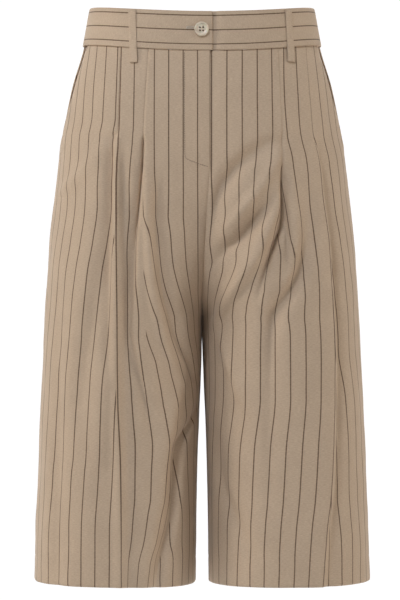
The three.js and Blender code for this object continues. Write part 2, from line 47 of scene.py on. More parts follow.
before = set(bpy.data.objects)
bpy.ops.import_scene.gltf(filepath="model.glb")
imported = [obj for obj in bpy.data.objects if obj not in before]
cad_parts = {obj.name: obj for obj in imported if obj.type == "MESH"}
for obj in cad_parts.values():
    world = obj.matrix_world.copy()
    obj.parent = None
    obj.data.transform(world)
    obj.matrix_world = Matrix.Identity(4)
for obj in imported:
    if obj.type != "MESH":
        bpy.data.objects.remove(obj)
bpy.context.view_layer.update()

# The form's tables are in millimetres: "drop" is the height below the waistband's top edge at the side
# seams, and "out" is the distance from the body's middle towards one leg's own side.
MM = 0.001
PER_METRE = 1000
BAND_HEIGHT = 44
CLOTH_WALL = 1.2
BAND_WALL = 2.4
BAND_PROUD = 0.6
SEAM_GAP = 0.3
HEM_DEPTH = 28
LENGTH = 674
CROTCH_DROP = 366
PANEL_TOP = BAND_HEIGHT + SEAM_GAP / 2
HEM_FOLD = LENGTH - 1.3
HEM_LINE = LENGTH - HEM_DEPTH
HEM_GAP = 0.15

STATION_COLUMNS = (
    "drop", "side", "frontPeak", "frontReach", "frontIn", "frontInDrop",
    "backPeak", "backReach", "backIn", "backInDrop", "gap",
)
STATIONS = (
    (0, 130.6, 14, 94, 94, 10.5, 20, 92, 92, -6, 0),
    (44, 138.9, 16, 98.8, 98.8, 56, 24, 97.5, 97.5, 38, 0),
    (95, 153.7, 28, 107, 105.5, 104, 40, 109, 104, 91, 0),
    (166, 166.8, 46, 114, 110.5, 171, 58, 119, 108, 164, 0),
    (220, 173.3, 58, 117, 109, 223, 68, 121.5, 106, 219, 0),
    (273, 179.2, 70, 117.5, 99, 274, 78, 119.5, 97, 273, 0),
    (305, 181.5, 78, 117, 86, 305, 83, 117, 84, 305, 0),
    (330, 183.2, 84, 116, 67, 330, 87, 115.2, 67, 330, 0),
    (348, 184.3, 88, 115, 46, 345.5, 90, 113.8, 46, 345.5, 0),
    (362, 185, 91, 114, 25, 357, 92, 112.6, 25, 357, 0.1),
    (374, 185.6, 93, 113, 0, CROTCH_DROP, 94, 111.4, 0, CROTCH_DROP, 0.3),
    (392, 186.5, 95, 112, 0, 385, 95, 109.6, 0, 385, 1),
    (415, 187.5, 97, 110.5, 0, 411, 97, 107.4, 0, 411, 1.8),
    (450, 189.3, 99, 108, 0, 449, 98, 104.4, 0, 449, 3.2),
    (487, 191.1, 100, 106, 0, 487, 99, 101.8, 0, 487, 5),
    (558, 193.5, 101, 103, 0, 559, 100, 98.6, 0, 559, 7),
    (629, 196.4, 102.5, 101, 0, 631, 102, 96.8, 0, 631, 8.3),
    (LENGTH, 197.6, 103, 100, 0, 676, 103, 96, 0, 676, 8.6),
)
FRONT_SEAM = ((44, 9), (70, 8.7), (190, 8.4), (217, 6.6), (250, 5), (306, 1.6), (345, 0), (LENGTH, 0))
# Where each front's two pleats hide cloth: drop, out
PLEAT_LINES = {
    "right": {
        "outer": ((44, 93.5), (150, 96), (183, 98.5), (217, 99.5), (390, 99.3), (459, 99), (536, 96),
            (609, 95), (LENGTH, 94.5)),
        "inner": ((44, 61.5), (159, 67), (236, 67.2), (313, 66.9), (351, 65.7), (400, 64), (414, 59),
            (482, 11), (499, 17), (512, 24), (551, 28.3), (580, 29.8), (605, 33.5), (626, 39.2), (641, 45),
            (LENGTH, 48)),
    },
    "left": {
        "outer": ((44, 120), (150, 127.5), (180, 133), (236, 138), (275, 143), (344, 147.5), (396, 149.6),
            (459, 150.6), (497, 149.6), (574, 146), (609, 142.5), (LENGTH, 138)),
        "inner": ((44, 88), (160, 92.5), (217, 92), (246, 92), (266, 87.4), (286, 84), (330, 76),
            (LENGTH, 78)),
    },
}

# Each fold: how far it spreads towards the side and towards the middle, and its path of drop, out, height.
FOLDS = {
    ("right", "front"): {
        "outer pleat hollow": (9, 3.2, ((148, 97.5, 0), (158, 101, -4), (183, 102.8, -6.5), (246, 104.5, -7),
            (320, 107, -6.5), (379, 107, -5), (440, 106, 0))),
        "pressed front crease": (6, 5, ((150, 96, 0), (170, 98, 2.5), (217, 99.3, 3.2), (390, 99.3, 3.4),
            (459, 99, 3.4), (536, 96, 3.4), (609, 95, 3.2), (LENGTH, 94.5, 3))),
        "shade beside the crease": (5, 10, ((165, 91, 0), (200, 90.5, -3), (250, 90, -4), (330, 87, -4),
            (420, 88, -3), (520, 86, -2.5), (LENGTH, 83, -2))),
        "inner pleat slit": (2.4, 1.3, ((154, 66.6, 0), (164, 67, -5.5), (190, 68, -7), (214, 70, -6),
            (240, 72, -4), (267, 75, -2), (290, 77, 0))),
        "inner pleat hollow": (8, 2.5, ((160, 67.5, 0), (190, 69, -3), (214, 71, -4.5), (240, 73.5, -6),
            (267, 76, -6), (320, 79, -5.5), (344, 81, -5), (375, 83, -4), (405, 78, -4), (459, 64, -4.5),
            (497, 57, -2.5), (530, 55, 0))),
        "ridge beside the inner pleat": (5, 9, ((166, 64, 0), (190, 63.5, 2.5), (240, 62.5, 4.5),
            (290, 60, 5), (344, 56, 4.5), (382, 48, 3.5), (421, 34, 2.5), (455, 20, 0))),
        "drag line to the inner thigh": (7, 9, ((196, 50, 0), (220, 50.7, -4), (254, 52.5, -7), (309, 48, -8),
            (338, 43, -8), (359, 37, -7.5), (381, 29.5, -7), (399, 22.5, -6), (420, 14.5, -4),
            (443, 8.7, 0))),
        "knee valley": (11, 6, ((464, 6, 0), (486, 13, -5), (512, 25, -9), (534, 28, -10), (580, 31.5, -10),
            (605, 35.5, -9.5), (626, 41, -9), (641, 46, -8), (LENGTH, 52, -5))),
        "knee ridge": (14, 8, ((430, 20, 0), (465, 32, 4.5), (490, 38, 6.5), (520, 43, 6), (560, 47, 4),
            (600, 54, 3), (LENGTH, 64, 1.5))),
        "outer thigh valley": (13, 12, ((225, 113, 0), (300, 118, -4), (370, 126, -6), (440, 138, -5),
            (510, 141, 0))),
        "outer knee ridge": (10, 9, ((400, 107, 0), (430, 110, 2.5), (479, 117, 3.5), (528, 119, 3),
            (545, 119, 0))),
        "hip drag ridge": (14, 13, ((154, 100, 0), (170, 112, 2.5), (197, 138, 3), (213, 156, 2),
            (225, 168, 0))),
        "side flute": (9, 10, ((300, 163, 0), (400, 166, -3), (520, 168, -4), (LENGTH, 170, -4))),
    },
    ("left", "front"): {
        "upper fly drag valley": (12, 9, ((152, 86, 0), (166, 68, -5), (180, 51, -8), (195, 36, -9.5),
            (225, 17, -7.5), (252, 9, -3), (275, 5, 0))),
        "upper fly drag ridge": (6, 7, ((165, 92, 0), (180, 86, 4), (206, 73, 5.5), (244, 44, 5.5),
            (275, 20, 0))),
        "lower fly drag valley": (8, 9, ((204, 92, 0), (225, 82, -4), (245, 69, -8.5), (259, 58, -10),
            (272, 46, -10), (289, 24, -7), (311, 8, 0))),
        "pleat to crotch ridge": (6, 13, ((205, 92, 0), (230, 86, 4), (258, 77, 8), (290, 65, 9.5),
            (314, 51, 9.5), (336, 37, 7.5), (355, 26, 5), (385, 12, 0))),
        "inner pleat line": (1.8, 3.5, ((146, 91.5, 0), (156, 92, -1.6), (190, 92.5, -2.2), (206, 93, -1.6),
            (216, 93, 0))),
        "inner pleat hollow": (5, 4, ((186, 92, 0), (198, 92.7, -4), (210, 93, -7), (235, 93, -9.5),
            (259, 91, -10), (275, 85, -9.5), (290, 79, -8), (314, 71.5, -6), (335, 66, -2), (350, 64, 0))),
        "inner pleat edge": (2.5, 4, ((215, 93.5, 0), (235, 96.5, -4), (262, 98, -4.5), (290, 98.5, -3),
            (320, 99, 0))),
        "ridge beside the inner pleat": (7, 6, ((190, 101, 0), (229, 105, 4), (260, 106.5, 5.5),
            (300, 105.5, 5.5), (322, 99, 5), (340, 90, 4), (358, 80, 0))),
        "thigh drag valley": (11, 9, ((200, 126, 0), (235, 123, -2.5), (262, 122, -4.5), (290, 116, -8),
            (314, 109, -11), (333, 99, -12.5), (346, 90, -12), (363, 82, -10), (385, 79, -6), (479, 78, -3),
            (560, 78, -2), (600, 78, 0))),
        "pressed outer crease": (3, 20, ((150, 127.5, 0), (180, 133, 2.5), (236, 138, 4), (275, 143, 4.5),
            (344, 147.5, 4.5), (396, 149.6, 4.5), (459, 150.6, 4.5), (497, 149.6, 4.5), (574, 146, 4.5),
            (609, 142.5, 4.5), (LENGTH, 138, 4))),
        "outer pleat hollow": (9, 4, ((152, 131, 0), (190, 140, -3.5), (236, 146, -5), (275, 151, -5.5),
            (344, 156, -5), (459, 159, -4.5), (520, 157, -4), (LENGTH, 147, -3))),
        "knee valley": (9, 13, ((480, 16, 0), (534, 20.6, -2.4), (570, 28, -3.4), (598, 39, -3.4),
            (625, 52, -2.4), (650, 66, 0))),
        "inner thigh ridge": (12, 8, ((372, 17, 0), (400, 26, 4), (440, 40, 4.5), (480, 54, 0))),
    },
}
BACK_FOLDS = {
    "dart hollow": (9, 9, ((44, 66, 0), (110, 68, -1.5), (170, 72, 0))),
    "seat drag valley": (15, 14, ((285, 40, 0), (330, 62, -5), (370, 92, -5), (420, 118, 0))),
    "back leg ridge": (18, 16, ((360, 78, 0), (450, 84, 5), (560, 92, 5), (LENGTH, 96, 4))),
    "back inner valley": (13, 14, ((400, 36, 0), (480, 44, -5), (580, 54, -6), (LENGTH, 60, -5))),
    "back outer valley": (14, 13, ((330, 146, 0), (440, 138, -4), (560, 134, -5), (LENGTH, 136, -5))),
}
BACK_SPREAD = {"right": 0, "left": 7}
BACK_CREASE = ((44, 84), (300, 92), (LENGTH, 96))
EDGE_CALM = 12
# The roundness of a level cut, towards the inner edge and towards the side
INNER_ROUND = {"right": 2.6, "left": 2.1}
SIDE_ROUND = 2.2
FLATTEST = 0.995
# How the waistband's edge levels out: how strongly, from which drop up, and over what height
LEVELLING = 2.2
LEVEL_FROM = 200
LEVEL_OVER = 150
POCKET_MOUTH = ((44, 36), (100, 33), (136, 23), (150, 13), (164, 1.5), (182, 0))
FLY_END_DROP = 191
BAND_LAP_END = 12
BAND_UNDERLAP_END = -18

LEG_SIGN = {"right": -1, "left": 1}

# Columns of a front's mesh, as far as the outer pleat, the inner pleat and the middle
FRONT_COLUMNS = (38, 34, 50)
OUTER_COLUMN = FRONT_COLUMNS[0]
INNER_COLUMN = OUTER_COLUMN + FRONT_COLUMNS[1]
# Columns of a back's mesh, as far as the crease and the middle
BACK_COLUMNS = (46, 50)
CREASE_COLUMN = BACK_COLUMNS[0]
SETTLE_SEEDS = {("right", "front"): 11, ("left", "front"): 12, ("right", "back"): 21, ("left", "back"): 22}

# The stripes: their spacing on each leg, and how much cloth reaches from the outer pleat to a line beside the
# middle, of which each pleat still takes up some at each drop. Low on the right leg that is less than nothing,
# where cloth comes back out of the knee's valley.
STRIPE_PITCH = {"right": 16.6, "left": 17.6}
STRIPE_START = {"right": 1.5, "left": 0}
MIDDLE_LINE = {
    "right": ((44, 5.3), (430, 5.3), (500, 9), (LENGTH, 12)),
    "left": ((44, 10), (430, 10), (LENGTH, 12.5)),
}
CLOTH_TO_LINE = {
    "right": ((44, 150.9), (385, 150.9), (424, 134.3), (459, 119), (496, 108), (534, 106), (574, 102.5),
        (LENGTH, 101)),
    "left": ((44, 177), (236, 177), (275, 175.5), (305, 177), (330, 173), (358, 169), (400, 172), (459, 175),
        (520, 166), (LENGTH, 163)),
}
OUTER_TAKEN_UP = {
    "right": ((44, 43.9), (130, 43.9), (160, 39.5), (198, 38), (237, 36.9), (275, 31), (313, 24.3),
        (352, 21.9), (390, 19.6), (459, 14.7), (547, 7.4), (609, 3), (LENGTH, 2)),
    "left": ((44, 52.2), (150, 52.2), (183, 47.2), (237, 43.6), (275, 40.2), (313, 36.7), (352, 35.2),
        (396, 35.2), (459, 27.2), (547, 19.2), (574, 17.6), (626, 9), (LENGTH, 6)),
}
INNER_TAKEN_UP = {
    "right": ((44, 56), (160, 55.7), (198, 54), (237, 44.5), (275, 29), (313, 23), (352, 16.6), (383, 9),
        (402, 4), (420, 0), (500, 0), (540, -8), (574, -13), (589, -21), (626, -36), (650, -49.8),
        (LENGTH, -49.8)),
    "left": ((44, 53), (160, 52.3), (198, 43.3), (237, 30), (256, 15), (285, 0), (LENGTH, 0)),
}
# How much of a row's slack lies before the inner pleat, and how many times a fold's own rise it may be
SLACK_BEFORE = {
    "right": ((44, 0.5), (420, 0.5), (490, 0.9), (LENGTH, 0.9)),
    "left": ((44, 0.15), (LENGTH, 0.15)),
}
SLACK_LIMIT = 3.6
BAND_STRIPE_START = 5.0
BAND_STRIPE_PITCH = 16.0


def smooth(pairs):
    """A monotone cubic through (at, value) pairs, flat beyond both ends."""
    at, value = np.array(pairs, float).T
    steps = np.diff(value) / np.diff(at)
    slopes = np.empty_like(at)
    slopes[0], slopes[-1] = steps[0], steps[-1]
    product = steps[:-1] * steps[1:]
    total = np.where(product > 0, steps[:-1] + steps[1:], 1)
    slopes[1:-1] = np.where(product > 0, 2 * product / total, 0)

    def curve(where):
        here = np.clip(where, at[0], at[-1])
        i = np.clip(np.searchsorted(at, here, side="right") - 1, 0, len(at) - 2)
        span = at[i + 1] - at[i]
        t = (here - at[i]) / span
        t2, t3 = t * t, t * t * t
        return (
            (2 * t3 - 3 * t2 + 1) * value[i]
            + (t3 - 2 * t2 + t) * span * slopes[i]
            + (3 * t2 - 2 * t3) * value[i + 1]
            + (t3 - t2) * span * slopes[i + 1]
        )

    return curve


def fade(t):
    """Eases from 0 at 0 to 1 at 1."""
    s = np.clip(t, 0, 1)
    return s * s * (3 - 2 * s)


STATION_CURVES = {
    column: smooth([(row[0], row[i + 1]) for row in STATIONS])
    for i, column in enumerate(STATION_COLUMNS[1:])
}
front_seam = smooth(FRONT_SEAM)
pocket_mouth = smooth(POCKET_MOUTH)
PLEAT_CURVES = {
    leg: {name: smooth(path) for name, path in lines.items()} for leg, lines in PLEAT_LINES.items()
}


def prepared(folds, shift=0):
    return [
        {
            "side": side,
            "mid": mid,
            "top": path[0][0],
            "bottom": path[-1][0],
            "out": smooth([(drop, out + shift) for drop, out, _ in path]),
            "height": smooth([(drop, height) for drop, _, height in path]),
        }
        for side, mid, path in folds.values()
    ]


PREPARED_FOLDS = {key: prepared(folds) for key, folds in FOLDS.items()}
for each_leg, spread in BACK_SPREAD.items():
    PREPARED_FOLDS[each_leg, "back"] = prepared(BACK_FOLDS, spread)


QUARTER_STEPS = 90


class Sections:
    """The level cuts through one panel, from the side seam to the inner edge, one for each drop."""

    def __init__(self, leg, half, drops, inner_out=None):
        self.leg, self.half, self.drops = leg, half, drops
        self.facing = -1 if half == "front" else 1
        value = lambda column: STATION_CURVES[column](drops)[:, None]
        peak, reach, in_reach, in_drop = (value(half + c) for c in ("Peak", "Reach", "In", "InDrop"))
        side = value("side")
        seam = LEG_SIGN[leg] * front_seam(drops)[:, None] if half == "front" else 0
        own_inner = seam + value("gap") + SEAM_GAP / 2
        other_inner = -seam + value("gap") + SEAM_GAP / 2
        inner = own_inner if inner_out is None else inner_out
        round_ = INNER_ROUND[leg]
        cut_depth = np.minimum(np.maximum(in_reach, SEAM_GAP / 2) / reach, FLATTEST)
        cut_width = (1 - cut_depth**round_) ** (1 / round_)
        cut_angle = np.arccos(cut_width ** (round_ / 2))
        tube = (peak - inner) / cut_width
        turn = np.linspace(0, 1, QUARTER_STEPS + 1)[None, :]
        outer_angle = math.pi / 2 * turn
        inner_angle = math.pi / 2 - (math.pi / 2 - cut_angle) * turn[:, 1:]
        start = SEAM_GAP / 2
        cosine = lambda angle: np.maximum(np.cos(angle), 0)
        out_outer = peak + (side - peak) * cosine(outer_angle) ** (2 / SIDE_ROUND)
        out_inner = peak - tube * cosine(inner_angle) ** (2 / round_)
        y_outer = start + (reach - start) * np.sin(outer_angle) ** (2 / SIDE_ROUND)
        y_inner = reach * np.sin(inner_angle) ** (2 / round_)
        self.out = np.hstack([out_outer, out_inner])
        self.y = self.facing * np.hstack([y_outer, y_inner])
        share = np.where(
            self.out >= own_inner,
            (side - self.out) / (side - own_inner),
            (side + self.out) / (side - other_inner),
        )
        level = 1 - np.maximum(0, 1 - share) ** LEVELLING
        share = share + (level - share) * fade((LEVEL_FROM - drops) / LEVEL_OVER)[:, None]
        self.drop = drops[:, None] + (in_drop - drops[:, None]) * share
        steps = np.sqrt(sum(np.diff(a, axis=1) ** 2 for a in (self.out, self.y, self.drop)))
        self.along = np.hstack([np.zeros((len(drops), 1)), np.cumsum(steps, axis=1)])
        self.whole = self.along[:, -1]

    def at(self, ways):
        """out, y and drop at each way along, and the level direction that faces out of the body."""
        take = lambda values, where: np.array(
            [np.interp(w, along, v) for w, along, v in zip(where, self.along, values)]
        )
        out, y, drop = (take(a, ways) for a in (self.out, self.y, self.drop))
        whole = self.whole[:, None]
        before, after = np.clip(ways - 1.5, 0, whole), np.clip(ways + 1.5, 0, whole)
        d_out = take(self.out, after) - take(self.out, before)
        d_y = take(self.y, after) - take(self.y, before)
        size = np.hypot(d_out, d_y)
        return out, y, drop, self.facing * d_y / size, -self.facing * d_out / size

    def way_at_out(self, out):
        """The way along each cut at which it is that far out from the middle."""
        return np.array([np.interp(-o, -row, along) for o, row, along in zip(out, self.out, self.along)])


def bell(away, width):
    """1 where nothing is away, and next to 0 past two widths."""
    return np.exp(-((away / width) ** 2))


def fold_height(folds, out, drop, normal_y):
    """How far the folds lift the cloth, or lower it, across their own paths."""
    facing = np.maximum(0.3, np.abs(normal_y))
    total = np.zeros_like(out)
    for fold in folds:
        lean = (fold["out"](drop + 1) - fold["out"](drop - 1)) / 2
        away = (out - fold["out"](drop)) / facing / np.hypot(1, lean)
        width = np.where(away > 0, fold["side"], fold["mid"])
        within = (drop > fold["top"]) & (drop <= fold["bottom"] + 8)
        total += within * fold["height"](drop) * bell(away, width)
    return total


def settle(ways, drop, seed):
    """The small unevenness that cloth keeps after pressing, longer down the leg than across it."""
    total = np.zeros_like(drop)
    draw = np.random.default_rng(seed)
    for reach, size in ((95, 0.5), (60, 0.4), (38, 0.22), (24, 0.12)):
        for _ in range(3):
            turn = draw.uniform(-0.5, 0.5)
            phase = draw.uniform(0, 2 * math.pi, 2)
            across = np.sin(2 * math.pi * (ways + turn * drop) / reach + phase[0])
            down = np.sin(2 * math.pi * (drop - turn * ways) / (2.4 * reach) + phase[1])
            total += size / 2 * across * down
    return total


def panel_points(cuts, ways, folds=True, settled=False, lift=0.0):
    """Outer points of a piece in millimetres, and how far its folds lift each one."""
    out, y, drop, normal_out, normal_y = cuts.at(ways)
    calm = fade(ways / EDGE_CALM) * fade((cuts.whole[:, None] - ways) / EDGE_CALM)
    folded = np.zeros_like(ways)
    if folds:
        folded = calm * fold_height(PREPARED_FOLDS[cuts.leg, cuts.half], out, drop, normal_y)
    height = folded + lift
    if settled:
        uneven = settle(ways, drop, SETTLE_SEEDS[cuts.leg, cuts.half])
        height += calm * uneven * fade((drop - BAND_HEIGHT) / 90)
    x = LEG_SIGN[cuts.leg] * (out + normal_out * height)
    return np.stack([x, y + normal_y * height, -drop], axis=-1), folded


def spread(start, end, count, gather):
    """Ways from start to end, closer together at both ends, without the last one."""
    t = np.arange(count) / count
    t = (1 - gather) * t + gather * (1 - np.cos(math.pi * t)) / 2
    return start[:, None] + (end - start)[:, None] * t[None, :]


def ways_through(stops, counts, gather=0.68):
    """Ways through all the stops, with that many columns between each two."""
    parts = [spread(*pair, count, gather) for *pair, count in zip(stops, stops[1:], counts)]
    return np.hstack([*parts, stops[-1][:, None]])


def along_rows(points):
    """The real length along each row of points, from its first column."""
    steps = np.linalg.norm(np.diff(points, axis=1), axis=2)
    return np.hstack([np.zeros((len(points), 1)), np.cumsum(steps, axis=1)])


def down_columns(points):
    """The mean length down to each row of points, for every point of the grid."""
    steps = np.linalg.norm(np.diff(points, axis=0), axis=2).mean(axis=1)
    return np.repeat(np.concatenate([[0], np.cumsum(steps)])[:, None], points.shape[1], axis=1)


def path_steps(path):
    """The length along a flat path, up to each of its points."""
    return np.concatenate([[0], np.cumsum(np.hypot(*np.diff(path, axis=0).T))])


def facings(points):
    """The direction each point of a grid faces, out of the body."""
    normal = np.cross(np.gradient(points, axis=1), np.gradient(points, axis=0))
    normal /= np.maximum(np.linalg.norm(normal, axis=2, keepdims=True), 1e-9)
    middle = normal[len(points) // 2, points.shape[1] // 2]
    return normal * (1 if middle[1] * points[..., 1].mean() > 0 else -1)


# Blender helpers

def mesh_from(name, bm):
    """The bmesh as a mesh. The bmesh is freed."""
    mesh = bpy.data.meshes.new(name)
    bm.to_mesh(mesh)
    bm.free()
    return mesh


def linked(name, data):
    """An object in the scene, smooth where it is a mesh."""
    if isinstance(data, bpy.types.Mesh):
        data.polygons.foreach_set("use_smooth", [True] * len(data.polygons))
    obj = bpy.data.objects.new(name, data)
    bpy.context.scene.collection.objects.link(obj)
    return obj


def chain(bm, places):
    """Vertices at the places, joined by edges."""
    verts = [bm.verts.new(place) for place in places]
    return verts, [bm.edges.new(pair) for pair in zip(verts, verts[1:])]


def spun(profile, steps):
    """A profile of radius and height turned round the upright axis."""
    bm = bmesh.new()
    verts, edges = chain(bm, [(radius, 0, z) for radius, z in profile])
    bmesh.ops.spin(bm, geom=verts + edges, cent=(0, 0, 0), axis=(0, 0, 1), angle=2 * math.pi, steps=steps,
                   use_merge=True)
    bmesh.ops.remove_doubles(bm, verts=bm.verts, dist=1e-6)
    bmesh.ops.recalc_face_normals(bm, faces=bm.faces)
    return bm


def cloth_object(name, points, u, v, breaks=None, outward=None):
    """A sheet from a grid of points in millimetres. u and v are the cloth's own coordinates, and breaks
    gives, for a column, the u of the faces before it."""
    rows, cols = points.shape[:2]
    bm = bmesh.new()
    bmesh.ops.create_grid(bm, x_segments=cols - 1, y_segments=rows - 1, size=1)
    mesh = mesh_from(name, bm)
    flat = np.empty(len(mesh.vertices) * 3)
    mesh.vertices.foreach_get("co", flat)
    flat = flat.reshape(-1, 3)
    col = np.rint((flat[:, 0] + 1) / 2 * (cols - 1)).astype(int)
    row = np.rint((1 - flat[:, 1]) / 2 * (rows - 1)).astype(int)
    mesh.vertices.foreach_set("co", (points[row, col] * MM).ravel())
    corner = np.empty(len(mesh.loops), int)
    mesh.loops.foreach_get("vertex_index", corner)
    loop_row, loop_col = row[corner], col[corner]
    face_col = np.repeat(loop_col.reshape(-1, 4).min(axis=1), 4)
    loop_u = u[loop_row, loop_col]
    for column, before in (breaks or {}).items():
        here = (loop_col == column) & (face_col < column)
        loop_u = np.where(here, before[np.minimum(loop_row, len(before) - 1)], loop_u)
    layer = mesh.uv_layers.new(name="cloth")
    layer.data.foreach_set("uv", np.stack([loop_u, v[loop_row, loop_col]], axis=1).ravel())
    mesh.update()
    middle = mesh.polygons[len(mesh.polygons) // 2]
    away = outward if outward is not None else Vector((0, middle.center.y, 0))
    if middle.normal.dot(away) < 0:
        mesh.flip_normals()
    return linked(name, mesh)


def dress(obj, finish, node=None):
    """Gives a piece its finish and its body, and hides the CAD node that it replaces."""
    obj.data.materials.clear()
    obj.data.materials.append(finish_named(finish))
    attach(obj, "root")
    if node:
        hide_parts(node)


def suiting_piece(node, points, u, v, wall=CLOTH_WALL, bevel=0.0, kind="cloth", **form):
    """A node's piece in striped suiting, with a real thickness and, where bevelled, rounded edges."""
    piece = cloth_object(f"{node}_{kind}", points, u, v, **form)
    solidify = piece.modifiers.new("wall", "SOLIDIFY")
    solidify.thickness = wall * MM
    solidify.offset = -1
    if bevel:
        edge = piece.modifiers.new("edge", "BEVEL")
        edge.width = bevel * MM
        edge.segments = 2
        edge.limit_method = "ANGLE"
        edge.angle_limit = math.radians(50)
    dress(piece, "striped_suiting", node)
    return piece


# Materials

class Nodes:
    """Short ways to add and link shader nodes."""

    def __init__(self, name):
        self.material = bpy.data.materials.new(name)
        self.material.use_nodes = True
        self.tree = self.material.node_tree

    def feed(self, node, values):
        for key, value in values.items():
            if isinstance(value, bpy.types.NodeSocket):
                self.tree.links.new(value, node.inputs[key])
            else:
                node.inputs[key].default_value = value

    def add(self, kind, values=None, **settings):
        node = self.tree.nodes.new(kind)
        for key, value in settings.items():
            setattr(node, key, value)
        self.feed(node, values or {})
        return node

    def shade(self, values):
        """Sets or links the shader's own sockets, and gives the finished material."""
        self.feed(self.tree.nodes["Principled BSDF"], values)
        return self.material

    def place(self):
        return self.add("ShaderNodeTexCoord").outputs["Object"]

    def math(self, operation, *values, clamp=False):
        return self.add("ShaderNodeMath", dict(enumerate(values)), operation=operation, use_clamp=clamp).outputs[0]

    def noise(self, vector, scale, detail=2.0, roughness=0.5):
        """Noise at a scale, or at one for each axis."""
        if isinstance(scale, tuple):
            vector = self.add("ShaderNodeMapping", {"Vector": vector, "Scale": scale}).outputs[0]
            scale = 1.0
        return self.add("ShaderNodeTexNoise", {
            "Vector": vector, "Scale": scale, "Detail": detail, "Roughness": roughness,
        }).outputs["Fac"]

    def mix(self, factor, first, second, blend="MIX"):
        return self.add("ShaderNodeMix", {"Factor": factor, 6: first, 7: second}, data_type="RGBA",
                        blend_type=blend).outputs[2]

    def between(self, value, to_low, to_high, low=0.3, high=0.7):
        """The value carried over to another range. Noise lies mostly between the default low and high."""
        return self.add("ShaderNodeMapRange", {
            "Value": value, "From Min": low, "From Max": high, "To Min": to_low, "To Max": to_high,
        }).outputs[0]

    def bump(self, height, strength, distance, **under):
        return self.add("ShaderNodeBump", {
            "Height": height, "Strength": strength, "Distance": distance, **under,
        }).outputs[0]


def suiting_material(settings):
    """Fine worsted with a slubby weave and dark pinstripes. The cloth's own coordinates are in
    stripe spacings, with a stripe at each whole number of u."""
    nodes = Nodes("striped_suiting")
    pitch = settings.stripe_pitch * PER_METRE
    cloth = nodes.add("ShaderNodeUVMap", uv_map="cloth").outputs[0]
    u = nodes.add("ShaderNodeSeparateXYZ", {"Vector": cloth}).outputs["X"]

    # Threads: warp runs down the stripes, weft across them, and both are a little uneven.
    warp = nodes.noise(cloth, (pitch * 1.7, pitch * 0.3, 1))
    weft = nodes.noise(cloth, (pitch * 0.3, pitch * 1.7, 1))
    slub = nodes.noise(cloth, (pitch * 0.12, pitch * 0.9, 1), 1.0)
    cloud = nodes.noise(cloth, 0.5, 3.0)
    threads = nodes.math("ADD", nodes.math("MULTIPLY", warp, 0.4), nodes.math("MULTIPLY", weft, 0.6))
    tone = nodes.math("ADD", nodes.between(threads, 0.93, 1.07), nodes.between(slub, -0.02, 0.02, 0.35, 0.65))
    tone = nodes.math("MULTIPLY", tone, nodes.between(cloud, 0.97, 1.03))
    light, dark = (*settings.cloth_light, 1), (*settings.cloth_dark, 1)
    base = nodes.mix(nodes.between(weft, 0, 1, 0.35, 0.65), dark, light)
    grey = nodes.add("ShaderNodeCombineColor", {"Red": tone, "Green": tone, "Blue": tone}).outputs[0]
    colour = nodes.mix(1.0, base, grey, "MULTIPLY")

    # Stripes: a line round each whole number of u, a little wavy and broken up by the weft
    wander = nodes.noise(cloth, (1, pitch * 0.35, 1))
    part = nodes.math("FRACT", nodes.math("ADD", u, 1000.5))
    away = nodes.math("MULTIPLY", nodes.math("ABSOLUTE", nodes.math("SUBTRACT", part, 0.5)), pitch)
    away = nodes.math("ADD", away, nodes.between(wander, -0.08, 0.08))
    half = settings.stripe_width * PER_METRE / 2
    line = nodes.between(away, 1, 0, half * 0.6, half * 1.3)
    line = nodes.math("MULTIPLY", line, nodes.between(weft, 1.0, 0.85, 0.25, 0.7), clamp=True)
    colour = nodes.mix(line, colour, (*settings.stripe_colour, 1))

    soft = nodes.noise(cloth, (0.9, 0.45, 1), 3.0, 0.55)
    return nodes.shade({
        "Base Color": colour,
        "Roughness": nodes.between(threads, 0.66, 0.78),
        "Specular IOR Level": 0.35,
        "Sheen Weight": settings.sheen,
        "Sheen Roughness": 0.45,
        "Sheen Tint": (1.0, 0.93, 0.84, 1),
        "Normal": nodes.bump(soft, 0.5, 0.0022, Normal=nodes.bump(threads, 0.35, 0.00035)),
    })


def thread_material(name, colour):
    """Twisted thread with a little shine."""
    nodes = Nodes(name)
    ply = nodes.noise(nodes.place(), 3500.0, 1.0)
    dark = (*[c * 0.7 for c in colour], 1)
    return nodes.shade({
        "Base Color": nodes.mix(nodes.between(ply, 0, 0.5), (*colour, 1), dark),
        "Roughness": 0.5,
        "Sheen Weight": 0.2,
        "Normal": nodes.bump(ply, 0.4, 0.0001),
    })


def button_material(settings):
    """Cast resin that is mottled like horn."""
    nodes = Nodes("horn_button")
    place = nodes.place()
    veins = nodes.noise(place, (90, 90, 260), 4.0, 0.6)
    clouds = nodes.noise(place, 160.0, 3.0)
    light, dark = (*settings.button_light, 1), (*settings.button_dark, 1)
    colour = nodes.mix(nodes.between(veins, 0, 1, 0.35, 0.68), light, dark)
    return nodes.shade({
        "Base Color": nodes.mix(nodes.between(clouds, 0, 0.35, 0.45, 0.7), colour, light),
        "Roughness": nodes.between(clouds, 0.28, 0.42),
        "Subsurface Weight": 0.1,
        "Subsurface Scale": 0.001,
        "Normal": nodes.bump(clouds, 0.15, 0.0002),
    })


def paper_material(name, colour, glow):
    """Matt paper that shines by itself, by as much as glow says for the nodes and a place."""
    nodes = Nodes(name)
    place = nodes.place()
    return nodes.shade({
        "Base Color": (*colour, 1),
        "Roughness": 0.9,
        "Emission Color": (1, 1, 1, 1),
        "Emission Strength": nodes.math("MULTIPLY", glow(nodes, place),
                                        nodes.between(nodes.noise(place, 40.0), 0.99, 1.01)),
    })


